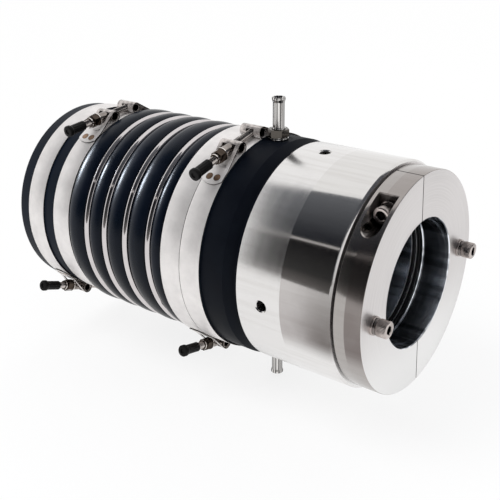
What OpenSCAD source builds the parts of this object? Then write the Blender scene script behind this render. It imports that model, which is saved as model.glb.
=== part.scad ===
// Dripless shaft seal for a propeller shaft.
// A carbon stator, held by a rubber bellows, is pressed against a steel rotor that turns with the shaft.
// The shaft axis is X, the seal face is at X = 0, the rotor is on the +X side and the hull is at -X.

/* [Shaft and stern tube] */
// Diameter of the propeller shaft
shaft_d = 101.6; // [98:0.1:103]
// Diameter of the stern tube that the bellows is clamped onto
stern_tube_d = 152.4; // [149:0.1:154]

/* [Rotor] */
// Outer diameter of the rotor
rotor_d = 180; // [178:0.5:184]
// Length of the rotor from the seal face to its outer end
rotor_len = 81.3; // [76:0.1:90]
// Chamfer round the outer end of the rotor
rotor_chamfer = 1.6; // [0.5:0.1:2.5]
// Turn of the rotor about the shaft at rest
rotor_turn = 4.8; // [-30:0.1:30]
// Distance of the set screw holes from the seal face
set_screw_x = 22.5; // [18:0.5:35]
// Diameter of the set screw holes at the crests of their thread
set_screw_d = 8.5; // [6:0.1:10]
// Length of one set screw
set_screw_len = 12; // [8:0.5:15]
// Thickness of the two rings that seal the rotor to the shaft
oring_cord = 3.4; // [2.6:0.1:3.6]
// Distance from the middle of one ring to the next
oring_pitch = 4.2; // [4:0.1:6]
// Distance from the outer end of the rotor to the nearest ring's middle
oring_inset = 3.7; // [3.6:0.1:8]

/* [Split collar] */
// Step from the rotor's outside down to the collar's
collar_step = 2.9; // [1:0.1:4]
// Width of the split collar
collar_w = 21.9; // [20:0.1:30]
// Gap between the rotor and the collar
collar_gap = 1.5; // [0.5:0.1:3]
// Saw cut between the two halves of the collar
split_gap = 0.9; // [0.5:0.1:2]
// Depth of the clamp screws' line inside the collar's outside
clamp_screw_inset = 17.3; // [16:0.1:18.6]
// Distance from the saw cut to the floor of a clamp screw's pocket, as a share of the collar's radius
pocket_share = 0.335; // [0.31:0.005:0.355]
// Width of a clamp screw's pocket
pocket_w = 15.8; // [15:0.1:17]
// Depth of the face screws inside the collar's outside
face_screw_inset = 18.7; // [15:0.1:21]

/* [Collar screws] */
// Thread diameter of the collar's socket head screws
screw_d = 8; // [6:0.5:8]
// Diameter of their heads
screw_head_d = 13; // [11:0.1:13.5]
// Height of their heads
screw_head_h = 8; // [6:0.1:9]
// Width across the flats of their sockets
screw_socket_af = 6; // [4:0.1:6.5]
// Thickness of the plain washer under each head
plain_washer_t = 1.8; // [1:0.1:2.5]
// Thickness of the spring washer under each head
spring_washer_t = 2.4; // [1.5:0.1:3]

/* [Carbon stator] */
// How far the carbon ring stands out past the rotor
carbon_proud = 0.5; // [0:0.1:1.5]
// Length of the carbon ring outside the bellows
carbon_len = 34.2; // [34.2:0.1:44]
// Length of the raised nose that carries the seal face
nose_len = 5.9; // [4:0.1:7]
// Step from the carbon's outside down to the nose
nose_step = 6; // [4:0.1:8]
// Length of the cone between the nose and the ring
nose_cone_len = 6.7; // [4:0.1:8]
// Step from the carbon's outside down to the spigot inside the bellows
spigot_step = 9.7; // [9.2:0.1:10.5]
// Clearance between the carbon and the shaft, measured on the radius
carbon_shaft_gap = 3.2; // [2:0.1:6]
// Play left at the seal face
face_film = 0.1; // [0.05:0.01:0.2]

/* [Hose barbs] */
// Distance of the two barbs from the seal face
barb_x = 26; // [24:0.1:26]
// How far a barb's tip stands out from the carbon
barb_reach = 33.3; // [22:0.1:50]
// Outer diameter of a barb's tube
barb_tube_d = 9.5; // [8:0.1:10.5]
// Bore of a barb's tube
barb_bore_d = 7; // [4.5:0.1:7.4]
// Diameter of the bead round a barb's tip
barb_bead_d = 11; // [10.8:0.1:12]
// Width across the flats of a barb's hexagon
barb_hex_af = 15; // [13:0.1:15]
// Height of a barb's hexagon
barb_hex_h = 6.3; // [4:0.1:8]
// Diameter of a barb's thread
barb_thread_d = 13.2; // [11.5:0.1:14]

/* [Bellows] */
// Distance from the seal face to the stern end of the bellows
bellows_end = 252.8; // [250:0.1:262]
// Length of the stern cuff
stern_cuff_len = 66.4; // [64.5:0.1:68]
// Length of the cuff that grips the carbon
carbon_cuff_len = 40.1; // [40.1:0.1:41]
// Wall thickness of the stern cuff
stern_cuff_wall = 9.9; // [8.5:0.1:10.2]
// Wall thickness of the carbon cuff
carbon_cuff_wall = 9.9; // [8.5:0.1:10.5]
// Wall thickness of the folds
fold_wall = 5.5; // [4.5:0.1:6]
// Rise of the folds' crests over the middles of the support rings
crest_rise = 3.6; // [2.6:0.1:5]

/* [Support rings] */
// Diameter of the ring wire
ring_wire_d = 6; // [4.5:0.1:6.4]
// Depth of the wire's middle inside the carbon's outside
ring_inset = 3.5; // [2.5:0.1:4.5]
// Distance from the end of the stern cuff to the first ring
ring_start = 23.9; // [23:0.1:26]
// Distance from the first ring to the second
ring_step_1 = 21.2; // [20:0.1:25]
// Distance from the second ring to the third
ring_step_2 = 23.8; // [20:0.1:25]
// Distance from the third ring to the fourth
ring_step_3 = 25.7; // [20:0.1:26]

/* [Hose clamps] */
// Width of a clamp's band
band_w = 19.8; // [18:0.1:19.8]
// Thickness of a clamp's band
band_t = 0.9; // [0.6:0.1:1.2]
// Rubber between the two bands of the stern cuff
band_gap_stern = 13.3; // [12:0.1:15]
// Seam between the two bands of the carbon cuff
band_gap_carbon = 0.3; // [0.2:0.05:0.4]
// Outer radius of the loops at the ends of a band
loop_r = 5; // [4.6:0.1:5.4]
// Thread diameter of the tension bolt
bolt_d = 6; // [5:0.5:6]
// Angle round the shaft from a clamp's middle to each loop
loop_angle = 8.2; // [8:0.1:9]
// Angle round the shaft from a clamp's middle to the end of each welded foot
foot_angle = 30.5; // [29:0.5:33]
// Length of the trunnion's sleeve
sleeve_len = 12.2; // [11:0.1:14]
// Bare stud between the nut and the cap
bare_stud = 9.4; // [7:0.1:14]
// Length of the black cap on the end of the bolt
cap_len = 18.5; // [16:0.5:24]
// Place of the first clamp's bolt round the shaft
bolt_angle_1 = -110.5; // [-120:0.5:-60]
// Place of the second clamp's bolt round the shaft
bolt_angle_2 = 95.8; // [60:0.1:120]
// Place of the third clamp's bolt round the shaft
bolt_angle_3 = -103; // [-120:0.5:-60]
// Place of the fourth clamp's bolt round the shaft
bolt_angle_4 = 103.6; // [60:0.1:120]

/* [Hidden] */

$fn = 96;
over = 1;
far_r = 1.5 * rotor_d / 2;

// Fits and clearances
sliding_fit = 0.05;
seat_gap = 0.3;
screw_play = 0.1;
pin_play = 0.1;

// Shaft, rotor and collar
bore_r = shaft_d / 2 + sliding_fit;
rotor_r = rotor_d / 2;
hub_r = rotor_r - 9;
collar_r = rotor_r - collar_step;
clamp_screw_offset = collar_r - clamp_screw_inset;
face_screw_offset = collar_r - face_screw_inset;
pocket_floor = collar_r * pocket_share;
collar_x = rotor_len + collar_gap;
collar_end = collar_x + collar_w;
collar_mid = collar_x + collar_w / 2;
oring_x = [rotor_len - oring_inset - oring_pitch, rotor_len - oring_inset];
oring_inner_r = bore_r + 0.05;
set_screw_base = bore_r + 0.3;
screw_stack = plain_washer_t + spring_washer_t;
screw_thread = 22;

// Carbon and barbs
carbon_r = rotor_r + carbon_proud;
nose_r = carbon_r - nose_step;
carbon_bore_r = shaft_d / 2 + carbon_shaft_gap;
carbon_end = -carbon_len - carbon_cuff_len + 1;
spigot_r = carbon_r - spigot_step;
barb_seat = carbon_r - 0.7;
barb_tip = carbon_r + barb_reach;
barb_neck_r = 8;
barb_neck_h = 2.6;
barb_hex_turn = 7.6;
barb_thread_len = 15;

// Bellows
stern_bore_r = stern_tube_d / 2;
stern_cuff_r = stern_bore_r + stern_cuff_wall;
carbon_cuff_bore_r = spigot_r + 0.2;
carbon_cuff_r = carbon_cuff_bore_r + carbon_cuff_wall;
ring_mid_r = carbon_r - ring_inset;
fold_crest_r = ring_mid_r + crest_rise;
fold_x0 = -bellows_end + stern_cuff_len;
fold_x1 = -carbon_len - seat_gap - carbon_cuff_len;
fold_bore_r = ring_mid_r - 9.5;
fold_lip_r = ring_mid_r - 2.5;
ring_wire_r = ring_wire_d / 2;
ring_groove_r = ring_wire_r + seat_gap;
lip_half = sqrt(ring_groove_r * ring_groove_r - pow(ring_mid_r - fold_lip_r, 2));
ring_x = [
    fold_x0 + ring_start,
    fold_x0 + ring_start + ring_step_1,
    fold_x0 + ring_start + ring_step_1 + ring_step_2,
    fold_x0 + ring_start + ring_step_1 + ring_step_2 + ring_step_3
];

// Hose clamps, from the stern end to the carbon
band_end_4 = -carbon_len - 0.2;
band_mid_4 = band_end_4 - band_w / 2;
band_mid_3 = band_mid_4 - band_w - band_gap_carbon;
band_mid_2 = fold_x0 - 0.5 - band_w / 2;
band_mid_1 = band_mid_2 - band_w - band_gap_stern;
band_mid = [band_mid_1, band_mid_2, band_mid_3, band_mid_4];
bolt_angle = [bolt_angle_1, bolt_angle_2, bolt_angle_3, bolt_angle_4];
band_seat_r = [stern_cuff_r, stern_cuff_r, carbon_cuff_r, carbon_cuff_r];
bridge_t = 0.6;
bridge_angle = 21;
bolt_r = bolt_d / 2;
loop_in_r = loop_r - band_t;
pin_r = loop_in_r - pin_play;
sleeve_r = bolt_r + 1.5;
nut_af = 10;
nut_h = 7.6;
landing_angle = 22.5;
slot_w = 12.8;

// A profile drawn as (radius, station) turned about the shaft axis
module turned() {
    rotate([0, 90, 0]) rotate_extrude() children();
}

// A ring about the shaft axis between two stations and two radii
module ring(x0, x1, r_in, r_out) {
    turned() translate([r_in, x0]) square([r_out - r_in, x1 - x0]);
}

// A rod along X
module rod_x(x0, x1, r) {
    translate([x0, 0, 0]) rotate([0, 90, 0]) cylinder(h = x1 - x0, r = r);
}

// A rod along Y
module rod_y(y0, y1, r) {
    translate([0, y0, 0]) rotate([-90, 0, 0]) cylinder(h = y1 - y0, r = r);
}

// A wedge about the shaft axis, from one angle to another counted from +Z towards +Y
module wedge(x0, x1, a0, a1, r = far_r) {
    steps = 4;
    points = [for (i = [0:steps]) let (a = a0 + (a1 - a0) * i / steps) [r * cos(a), r * sin(a)]];
    translate([x0, 0, 0]) rotate([0, 90, 0]) rotate([0, 0, 180])
        linear_extrude(x1 - x0) polygon(concat([[0, 0]], [for (p = points) [p[0], -p[1]]]));
}

// ---- Bellows and its support rings

// The round of one fold, from one lip to the next
module fold_crest(x0, x1) {
    half = (x1 - x0) / 2;
    rise = fold_crest_r - fold_lip_r;
    r = (half * half + rise * rise) / (2 * rise);
    intersection() {
        translate([fold_crest_r - r, (x0 + x1) / 2]) circle(r = r);
        translate([fold_lip_r - 0.5, x0]) square([rise + 1, x1 - x0]);
    }
}

// The hollow inside one fold
module fold_hollow(x0, x1) {
    half = (x1 - x0) / 2;
    rise = fold_crest_r - fold_lip_r;
    r = (half * half + rise * rise) / (2 * rise);
    inner = min(r - fold_wall, half - 2);
    middle = fold_crest_r - fold_wall - inner;
    translate([middle, (x0 + x1) / 2]) circle(r = inner);
    translate([fold_bore_r - over, (x0 + x1) / 2 - inner]) square([middle - fold_bore_r + over, 2 * inner]);
}

// Each fold starts a little inside the groove or cuff beside it
fold_from = [fold_x0 - 0.3, for (x = ring_x) x + lip_half - 0.4];
fold_to = [for (x = ring_x) x - lip_half + 0.4, fold_x1 + 0.2];

// The wall that joins the folds to a cuff
module end_wall(cuff_in, cuff_out, x0, x1) {
    inner = min(fold_bore_r, cuff_out - 1);
    translate([inner, x0]) square([max(fold_lip_r, cuff_in + 1) - inner, x1 - x0]);
}

module bellows_profile() {
    difference() {
        union() {
            translate([stern_bore_r, -bellows_end]) square([stern_cuff_wall, stern_cuff_len]);
            translate([carbon_cuff_bore_r, fold_x1]) square([carbon_cuff_wall, carbon_cuff_len]);
            end_wall(stern_bore_r, stern_cuff_r, fold_x0 - 0.3, fold_x0 + 1.5);
            end_wall(carbon_cuff_bore_r, carbon_cuff_r, fold_x1 - 1.5, fold_x1 + 0.2);
            translate([fold_bore_r, fold_x0]) square([fold_lip_r - fold_bore_r, fold_x1 - fold_x0]);
            for (i = [0:4]) fold_crest(fold_from[i], fold_to[i]);
        }
        for (x = ring_x) translate([ring_mid_r, x]) circle(r = ring_groove_r);
        for (i = [0:4]) fold_hollow(fold_from[i], fold_to[i]);
    }
}

module bellows() {
    color([0.07, 0.09, 0.12])
    difference() {
        turned() bellows_profile();
        for (i = [0:3]) clamp_place(i) bridge_strip(i, band_w - 0.8, bridge_angle + 0.4, bridge_t, 0.6);
    }
}

module support_ring(i) {
    color([0.8, 0.8, 0.82])
    turned() translate([ring_mid_r, ring_x[i]]) circle(r = ring_wire_r);
}

// ---- Hose clamps. Each is drawn with its bolt along Y, the nut at +Y and the shaft axis at the origin

// Radius of the band's inner face, of the loops' middles and of the bolt's line
function band_in(i) = band_seat_r[i] + seat_gap;
function band_out(i) = band_in(i) + band_t;
function loop_mid_r(i) = band_in(i) + loop_r;
function loop_y(i) = loop_mid_r(i) * sin(loop_angle);
function bolt_z(i) = loop_mid_r(i) * cos(loop_angle);
function nut_y(i) = loop_y(i) + sleeve_len + 0.2;
function cap_y(i) = nut_y(i) + nut_h + bare_stud;

module clamp_place(i) {
    translate([band_mid[i], 0, 0])
    rotate([bolt_angle[i] - 90, 0, 0])
    rotate([0, 0, bolt_angle[i] > 0 ? 180 : 0])
    children();
}

module on_bolt(i, y = 0) {
    translate([0, y, bolt_z(i)]) children();
}

module bridge_strip(i, width, angle, depth, height) {
    intersection() {
        ring(-width / 2, width / 2, band_seat_r[i] - depth, band_seat_r[i] + height);
        wedge(-band_w, band_w, -angle, angle);
    }
}

// A side view drawn as (Y, Z), as wide as a strip
module side_view(width) {
    rotate([90, 0, 90]) translate([0, 0, -width / 2]) linear_extrude(width) children();
}

// A flat sector of a side view, between two angles counted from +Z towards +Y
module sector(a0, a1, r = far_r) {
    steps = 4;
    polygon(concat([[0, 0]], [for (i = [0:steps]) let (a = a0 + (a1 - a0) * i / steps) [r * sin(a), r * cos(a)]]));
}

module strip_arc(r_in, a0, a1) {
    intersection() {
        difference() {
            circle(r = r_in + band_t);
            circle(r = r_in);
        }
        sector(a0, a1);
    }
}

// One end of a band from the side: the loop, the sloping leg and the foot folded back on the band
module band_end_view(i) {
    mid_r = loop_r - band_t / 2;
    foot_r = band_out(i) + band_t / 2;
    land = [foot_r * sin(landing_angle), foot_r * cos(landing_angle)];
    to_loop = [loop_y(i) - land[0], bolt_z(i) - land[1]];
    reach = norm(to_loop);
    turn = atan2(to_loop[1], to_loop[0]) - asin(mid_r / reach);
    translate([loop_y(i), bolt_z(i)]) circle(r = loop_r);
    translate(land) rotate(turn) translate([-0.8, -band_t / 2])
        square([0.8 + sqrt(reach * reach - mid_r * mid_r), band_t]);
    strip_arc(band_out(i) - 0.1, landing_angle - 0.9, foot_angle);
}

// What is cut off a foot to round its end
module foot_corners(i) {
    tip_r = 12;
    end_angle = foot_angle - asin(tip_r / band_out(i));
    difference() {
        intersection() {
            ring(-band_w, band_w, band_out(i), band_out(i) + 4);
            wedge(-band_w, band_w, end_angle, foot_angle + 3);
        }
        rotate([-end_angle, 0, 0]) cylinder(r = tip_r, h = band_out(i) + 20);
    }
}

// Two shallow marks where a foot is welded to its band
module weld_marks(i) {
    for (x = [-4.6, 4.6])
        rotate([-(foot_angle - 5.2), 0, 0]) translate([x, 0, band_out(i) + band_t - 0.2]) cylinder(r = 2.1, h = 3);
}

module band(i) {
    color([0.86, 0.86, 0.87])
    difference() {
        side_view(band_w) difference() {
            union() {
                difference() {
                    circle(r = band_out(i));
                    circle(r = band_in(i));
                    sector(-loop_angle, loop_angle);
                }
                for (side = [0, 1]) mirror([side, 0]) band_end_view(i);
            }
            for (side = [0, 1]) mirror([side, 0]) translate([loop_y(i), bolt_z(i)]) circle(r = loop_in_r);
        }
        for (side = [0, 1]) mirror([0, side, 0]) {
            foot_corners(i);
            weld_marks(i);
        }
        // Slots for the bolt in both loops, and for the sleeve and nut in the leg on the nut's side
        on_bolt(i, 0) translate([-bolt_r - 0.8, -loop_y(i), -bolt_r - 0.6])
            cube([bolt_d + 1.6, 2 * loop_y(i), bolt_d + 1.2]);
        on_bolt(i, loop_y(i)) translate([-slot_w / 2, 0, -loop_r + 0.9]) cube([slot_w, loop_r + 2, 2 * loop_r - 2]);
        on_bolt(i, loop_y(i) + 2.9) translate([-slot_w / 2, 0, -7.6]) cube([slot_w, 30, 14]);
    }
}

module bridge(i) {
    color([0.8, 0.8, 0.82])
    bridge_strip(i, band_w - 1.4, bridge_angle, bridge_t - 0.3, 0.25);
}

module t_bolt(i) {
    head_y = -loop_y(i);
    color([0.7, 0.7, 0.72])
    on_bolt(i) difference() {
        union() {
            translate([0, head_y, 0]) rod_x(-band_w / 2 + 0.8, band_w / 2 - 0.8, pin_r);
            rod_y(head_y, cap_y(i) + cap_len - 2.6, bolt_r);
            for (k = [0:5]) rod_y(nut_y(i) + nut_h + 3.4 + k, nut_y(i) + nut_h + 3.9 + k, bolt_r + 0.05);
        }
        for (side = [-1, 1]) translate([0, head_y, 0])
            rod_x(side * band_w / 2 - 5, side * band_w / 2 + 5, 2);
    }
}

module trunnion(i) {
    color([0.74, 0.74, 0.76])
    on_bolt(i, loop_y(i)) difference() {
        union() {
            rod_x(-band_w / 2 + 0.8, band_w / 2 - 0.8, pin_r);
            rod_y(0, 3.4, bolt_r + 0.7);
            rod_y(3.3, sleeve_len, sleeve_r);
        }
        rod_y(-2 * pin_r, sleeve_len + 2, bolt_r + screw_play);
        for (side = [-1, 1]) rod_x(side * band_w / 2 - 5, side * band_w / 2 + 5, 2);
    }
}

// A flanged lock nut: washer face, hexagon and a plain collar
module nut(i) {
    color([0.6, 0.58, 0.55])
    on_bolt(i, nut_y(i)) difference() {
        union() {
            rod_y(0, 1.3, nut_af / 2 + 0.5);
            rotate([-90, 0, 0]) cylinder(h = nut_h, d = nut_af / cos(30), $fn = 6);
            rod_y(nut_h - 0.1, nut_h + 2.6, nut_af / 2 - 0.7);
        }
        rod_y(-1, nut_h + 4, bolt_r + screw_play);
    }
}

// A ribbed sleeve with a wider end
module cap(i) {
    body_r = 4.1;
    color([0.03, 0.03, 0.035])
    on_bolt(i, cap_y(i)) difference() {
        union() {
            rod_y(0, cap_len - 4, body_r);
            translate([0, cap_len - 4.2, 0]) rotate([-90, 0, 0]) cylinder(h = 1.2, r1 = body_r, r2 = body_r + 0.8);
            rod_y(cap_len - 3.1, cap_len - 0.5, body_r + 0.8);
            translate([0, cap_len - 0.6, 0]) rotate([-90, 0, 0]) cylinder(h = 0.6, r1 = body_r + 0.8, r2 = body_r + 0.2);
        }
        rod_y(-1, cap_len - 2.2, bolt_r + screw_play);
        for (a = [0:30:330]) rotate([0, a, 0]) translate([body_r - 0.3, 1.2, -0.4]) cube([1, cap_len - 6, 0.8]);
    }
}

// ---- Carbon stator and its two hose barbs

module carbon_stator() {
    color([0.1, 0.11, 0.12])
    difference() {
        turned() polygon([
            [carbon_bore_r, carbon_end],
            [spigot_r - 1, carbon_end],
            [spigot_r, carbon_end + 1],
            [spigot_r, -carbon_len],
            [carbon_r - 0.5, -carbon_len],
            [carbon_r, -carbon_len + 0.5],
            [carbon_r, -nose_len - nose_cone_len],
            [nose_r, -nose_len],
            [nose_r, -face_film - 0.4],
            [nose_r - 0.4, -face_film],
            [nose_r - 16, -face_film],
            [nose_r - 18, -face_film - 2],
            [carbon_bore_r, -face_film - 2]
        ]);
        for (side = [0, 1]) mirror([0, 0, side]) translate([-barb_x, 0, 0]) {
            translate([0, 0, barb_seat]) cylinder(r = barb_neck_r + 0.1, h = 10);
            translate([0, 0, barb_seat - barb_thread_len - 1])
                cylinder(d = barb_thread_d + 2 * screw_play, h = 2 * barb_thread_len);
            translate([0, 0, carbon_bore_r - 2]) cylinder(d = barb_bore_d, h = carbon_r - carbon_bore_r);
        }
    }
}

module barb() {
    flare = (barb_bead_d - barb_tube_d) / 2;
    neck_top = barb_seat + barb_neck_h;
    hex_top = neck_top + barb_hex_h;
    color([0.82, 0.82, 0.84])
    translate([-barb_x, 0, 0]) difference() {
        union() {
            translate([0, 0, barb_seat - barb_thread_len]) cylinder(d = barb_thread_d, h = barb_thread_len + 1);
            translate([0, 0, barb_seat]) cylinder(r = barb_neck_r, h = barb_neck_h - 0.5);
            translate([0, 0, barb_seat]) cylinder(r = barb_hex_af / 2 - 0.4, h = barb_neck_h + 0.1);
            intersection() {
                translate([0, 0, neck_top]) rotate([0, 0, 30 + barb_hex_turn])
                    cylinder(d = barb_hex_af / cos(30), h = barb_hex_h, $fn = 6);
                translate([0, 0, neck_top]) cylinder(r1 = barb_hex_af / 2 + 0.3, r2 = barb_hex_af / 2 + 8, h = 7.7);
            }
            translate([0, 0, hex_top - 0.1]) cylinder(d = barb_tube_d, h = barb_tip - hex_top);
            translate([0, 0, barb_tip - 1.6 - flare]) cylinder(d1 = barb_tube_d, d2 = barb_bead_d, h = flare);
            translate([0, 0, barb_tip - 1.6]) cylinder(d = barb_bead_d, h = 1.6);
        }
        translate([0, 0, barb_seat - barb_thread_len - 1]) cylinder(d = barb_bore_d, h = barb_reach + 2 * barb_thread_len);
        translate([0, 0, barb_tip - 1]) cylinder(d1 = barb_bore_d, d2 = barb_bore_d + 2, h = 1.01);
    }
}

// ---- Rotor, its shaft seals and its screws

module rotor_frame() {
    rotate([rotor_turn, 0, 0]) children();
}

module rotor() {
    color([0.83, 0.83, 0.85])
    rotor_frame() difference() {
        turned() difference() {
            polygon([
                [bore_r, 0],
                [rotor_r - 0.5, 0],
                [rotor_r, 0.5],
                [rotor_r, rotor_len - rotor_chamfer],
                [rotor_r - rotor_chamfer, rotor_len],
                [hub_r, rotor_len],
                [hub_r, rotor_len + collar_gap - 0.3],
                [bore_r + 1.2, rotor_len + collar_gap - 0.3],
                [bore_r, rotor_len + collar_gap - 1.5]
            ]);
            for (x = oring_x) translate([bore_r - over, x - oring_cord / 2 - 0.1])
                square([oring_cord + over + 0.2, oring_cord + 0.2]);
        }
        for (a = [0, 90]) rotate([a, 0, 0]) translate([set_screw_x, 0, 0]) {
            cylinder(d = set_screw_d, h = rotor_r + 10);
            translate([0, 0, rotor_r - 1]) cylinder(d1 = set_screw_d, d2 = set_screw_d + 2.4, h = 1.2);
        }
        for (side = [-1, 1]) translate([0, side * face_screw_offset, 0])
            rod_x(rotor_len - 14, rotor_len + 5, screw_d / 2 + screw_play);
    }
}

module shaft_oring(i) {
    color([0.03, 0.03, 0.03])
    turned() translate([oring_inner_r + oring_cord / 2, oring_x[i]]) circle(d = oring_cord);
}

// Socket set screws in the two radial holes, one stacked on the other
module radial_screws(base) {
    r = set_screw_d / 2 - screw_play;
    color([0.5, 0.5, 0.52])
    rotor_frame()
    for (a = [0, 90]) rotate([a, 0, 0]) translate([set_screw_x, 0, base]) difference() {
        union() {
            cylinder(r1 = r - 1, r2 = r, h = 1);
            translate([0, 0, 1]) cylinder(r = r, h = set_screw_len - 1);
        }
        translate([0, 0, set_screw_len - 4.5]) cylinder(d = r, h = 6, $fn = 6);
        translate([0, 0, -0.01]) cylinder(r1 = r - 1.8, r2 = 0, h = 1.6);
    }
}

// ---- Split collar

// One half of the collar. Its pocket is at +Z and its thread at -Z, on the -Y side of the saw cut
module collar_half() {
    difference() {
        intersection() {
            turned() polygon([
                [bore_r + 0.8, collar_x],
                [collar_r - 0.6, collar_x],
                [collar_r, collar_x + 0.6],
                [collar_r, collar_end - 0.6],
                [collar_r - 0.6, collar_end],
                [bore_r + 1.2, collar_end],
                [bore_r, collar_end - 1.2],
                [bore_r, collar_x + 0.8]
            ]);
            translate([collar_x - over, -collar_r - over, -collar_r - over])
                cube([collar_w + 2 * over, collar_r + over - split_gap / 2, 2 * (collar_r + over)]);
        }
        translate([collar_mid, 0, clamp_screw_offset]) {
            rod_y(-collar_r, over, screw_d / 2 + 0.5);
            rod_y(-collar_r, -pocket_floor, pocket_w / 2);
            translate([-pocket_w / 2, -collar_r, 0]) cube([pocket_w, collar_r - pocket_floor, collar_r]);
        }
        translate([collar_mid, 0, -clamp_screw_offset]) rod_y(-28, over, screw_d / 2 + screw_play);
        translate([0, -face_screw_offset, 0]) rod_x(collar_x - over, collar_end + over, screw_d / 2 + 0.5);
    }
}

// A socket head screw along +Y: the head's seat is at Y = 0 and the thread points to +Y
module socket_screw(reach) {
    difference() {
        union() {
            rod_y(-screw_head_h + 0.6, 0, screw_head_d / 2);
            translate([0, -screw_head_h, 0]) rotate([-90, 0, 0])
                cylinder(h = 0.6, r1 = screw_head_d / 2 - 0.6, r2 = screw_head_d / 2);
            rod_y(-0.5, reach, screw_d / 2);
        }
        translate([0, -screw_head_h - 1, 0]) rotate([-90, 0, 0])
            cylinder(h = 5.2, d = screw_socket_af / cos(30), $fn = 6);
        translate([0, -screw_head_h - 0.01, 0]) rotate([-90, 0, 0])
            cylinder(h = 0.9, r1 = screw_socket_af / 2 + 0.9, r2 = screw_socket_af / 2);
    }
}

// A plain washer whose face is at Y = 0, lying on the -Y side
module plain_washer() {
    difference() {
        rod_y(-plain_washer_t, 0, screw_head_d / 2 + 0.5);
        rod_y(-plain_washer_t - 1, 1, screw_d / 2 + 0.2);
    }
}

// A spring washer cut through at one place, on top of the plain one
module spring_washer() {
    difference() {
        rod_y(-screw_stack, -plain_washer_t, screw_head_d / 2 - 0.3);
        rod_y(-screw_stack - 1, 1, screw_d / 2 + 0.2);
        rotate([0, 35, 0]) translate([0, -screw_stack - 1, -0.5]) cube([10, spring_washer_t + 3, 1]);
    }
}

// The two clamp screws point opposite ways across the saw cut
module at_clamp_screws() {
    rotor_frame() for (a = [0, 180]) rotate([a, 0, 0])
        translate([collar_mid, -pocket_floor, clamp_screw_offset]) children();
}

// The two face screws run along the shaft into the rotor
module at_face_screws() {
    rotor_frame() for (side = [-1, 1])
        translate([collar_end, side * face_screw_offset, 0]) rotate([0, 0, 90]) children();
}

module collar_half_near() {
    color([0.8, 0.79, 0.78]) rotor_frame() collar_half();
}

module collar_half_far() {
    color([0.8, 0.79, 0.78]) rotor_frame() rotate([180, 0, 0]) collar_half();
}

module clamp_screws() {
    color([0.72, 0.71, 0.7]) at_clamp_screws() translate([0, -screw_stack, 0])
        socket_screw(screw_stack + pocket_floor + screw_thread);
}

module clamp_spring_washers() {
    color([0.66, 0.66, 0.67]) at_clamp_screws() spring_washer();
}

module clamp_plain_washers() {
    color([0.74, 0.74, 0.75]) at_clamp_screws() plain_washer();
}

module face_screws() {
    color([0.72, 0.71, 0.7]) at_face_screws() translate([0, -screw_stack, 0])
        socket_screw(screw_stack + collar_w + collar_gap + 12);
}

module face_spring_washers() {
    color([0.66, 0.66, 0.67]) at_face_screws() spring_washer();
}

module face_plain_washers() {
    color([0.74, 0.74, 0.75]) at_face_screws() plain_washer();
}

bellows();
support_ring(0);  // support_ring_1
support_ring(1);  // support_ring_2
support_ring(2);  // support_ring_3
support_ring(3);  // support_ring_4
clamp_place(0) band(0);  // clamp_1_band
clamp_place(0) bridge(0);  // clamp_1_bridge
clamp_place(0) t_bolt(0);  // clamp_1_t_bolt
clamp_place(0) trunnion(0);  // clamp_1_trunnion
clamp_place(0) nut(0);  // clamp_1_nut
clamp_place(0) cap(0);  // clamp_1_cap
clamp_place(1) band(1);  // clamp_2_band
clamp_place(1) bridge(1);  // clamp_2_bridge
clamp_place(1) t_bolt(1);  // clamp_2_t_bolt
clamp_place(1) trunnion(1);  // clamp_2_trunnion
clamp_place(1) nut(1);  // clamp_2_nut
clamp_place(1) cap(1);  // clamp_2_cap
clamp_place(2) band(2);  // clamp_3_band
clamp_place(2) bridge(2);  // clamp_3_bridge
clamp_place(2) t_bolt(2);  // clamp_3_t_bolt
clamp_place(2) trunnion(2);  // clamp_3_trunnion
clamp_place(2) nut(2);  // clamp_3_nut
clamp_place(2) cap(2);  // clamp_3_cap
clamp_place(3) band(3);  // clamp_4_band
clamp_place(3) bridge(3);  // clamp_4_bridge
clamp_place(3) t_bolt(3);  // clamp_4_t_bolt
clamp_place(3) trunnion(3);  // clamp_4_trunnion
clamp_place(3) nut(3);  // clamp_4_nut
clamp_place(3) cap(3);  // clamp_4_cap
carbon_stator();
barb();  // vent_barb
mirror([0, 0, 1]) barb();  // feed_barb
rotor();
shaft_oring(0);  // shaft_oring_inner
shaft_oring(1);  // shaft_oring_outer
radial_screws(set_screw_base);  // set_screws
radial_screws(set_screw_base + set_screw_len);  // lock_screws
collar_half_near();
collar_half_far();
clamp_screws();
clamp_spring_washers();
clamp_plain_washers();
face_screws();
face_spring_washers();
face_plain_washers();
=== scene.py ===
import math
import bpy
import bmesh
from mathutils import Matrix, Vector


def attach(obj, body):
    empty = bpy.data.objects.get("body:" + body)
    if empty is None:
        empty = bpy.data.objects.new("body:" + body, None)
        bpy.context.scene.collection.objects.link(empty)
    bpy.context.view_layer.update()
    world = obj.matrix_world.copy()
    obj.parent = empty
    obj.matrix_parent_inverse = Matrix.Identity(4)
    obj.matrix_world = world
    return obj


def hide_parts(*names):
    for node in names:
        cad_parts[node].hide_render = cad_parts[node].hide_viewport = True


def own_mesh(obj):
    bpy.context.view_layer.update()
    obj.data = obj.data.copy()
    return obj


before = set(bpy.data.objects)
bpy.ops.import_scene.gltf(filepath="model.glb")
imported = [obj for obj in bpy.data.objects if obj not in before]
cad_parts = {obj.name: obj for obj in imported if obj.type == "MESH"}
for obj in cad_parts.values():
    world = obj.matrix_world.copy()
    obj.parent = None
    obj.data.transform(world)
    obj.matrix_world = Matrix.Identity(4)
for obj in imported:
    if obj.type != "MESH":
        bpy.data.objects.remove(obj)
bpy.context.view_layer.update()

mm = 0.001  # the shapes further down are drawn in millimetres

print("camera, floor and light")

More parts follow.
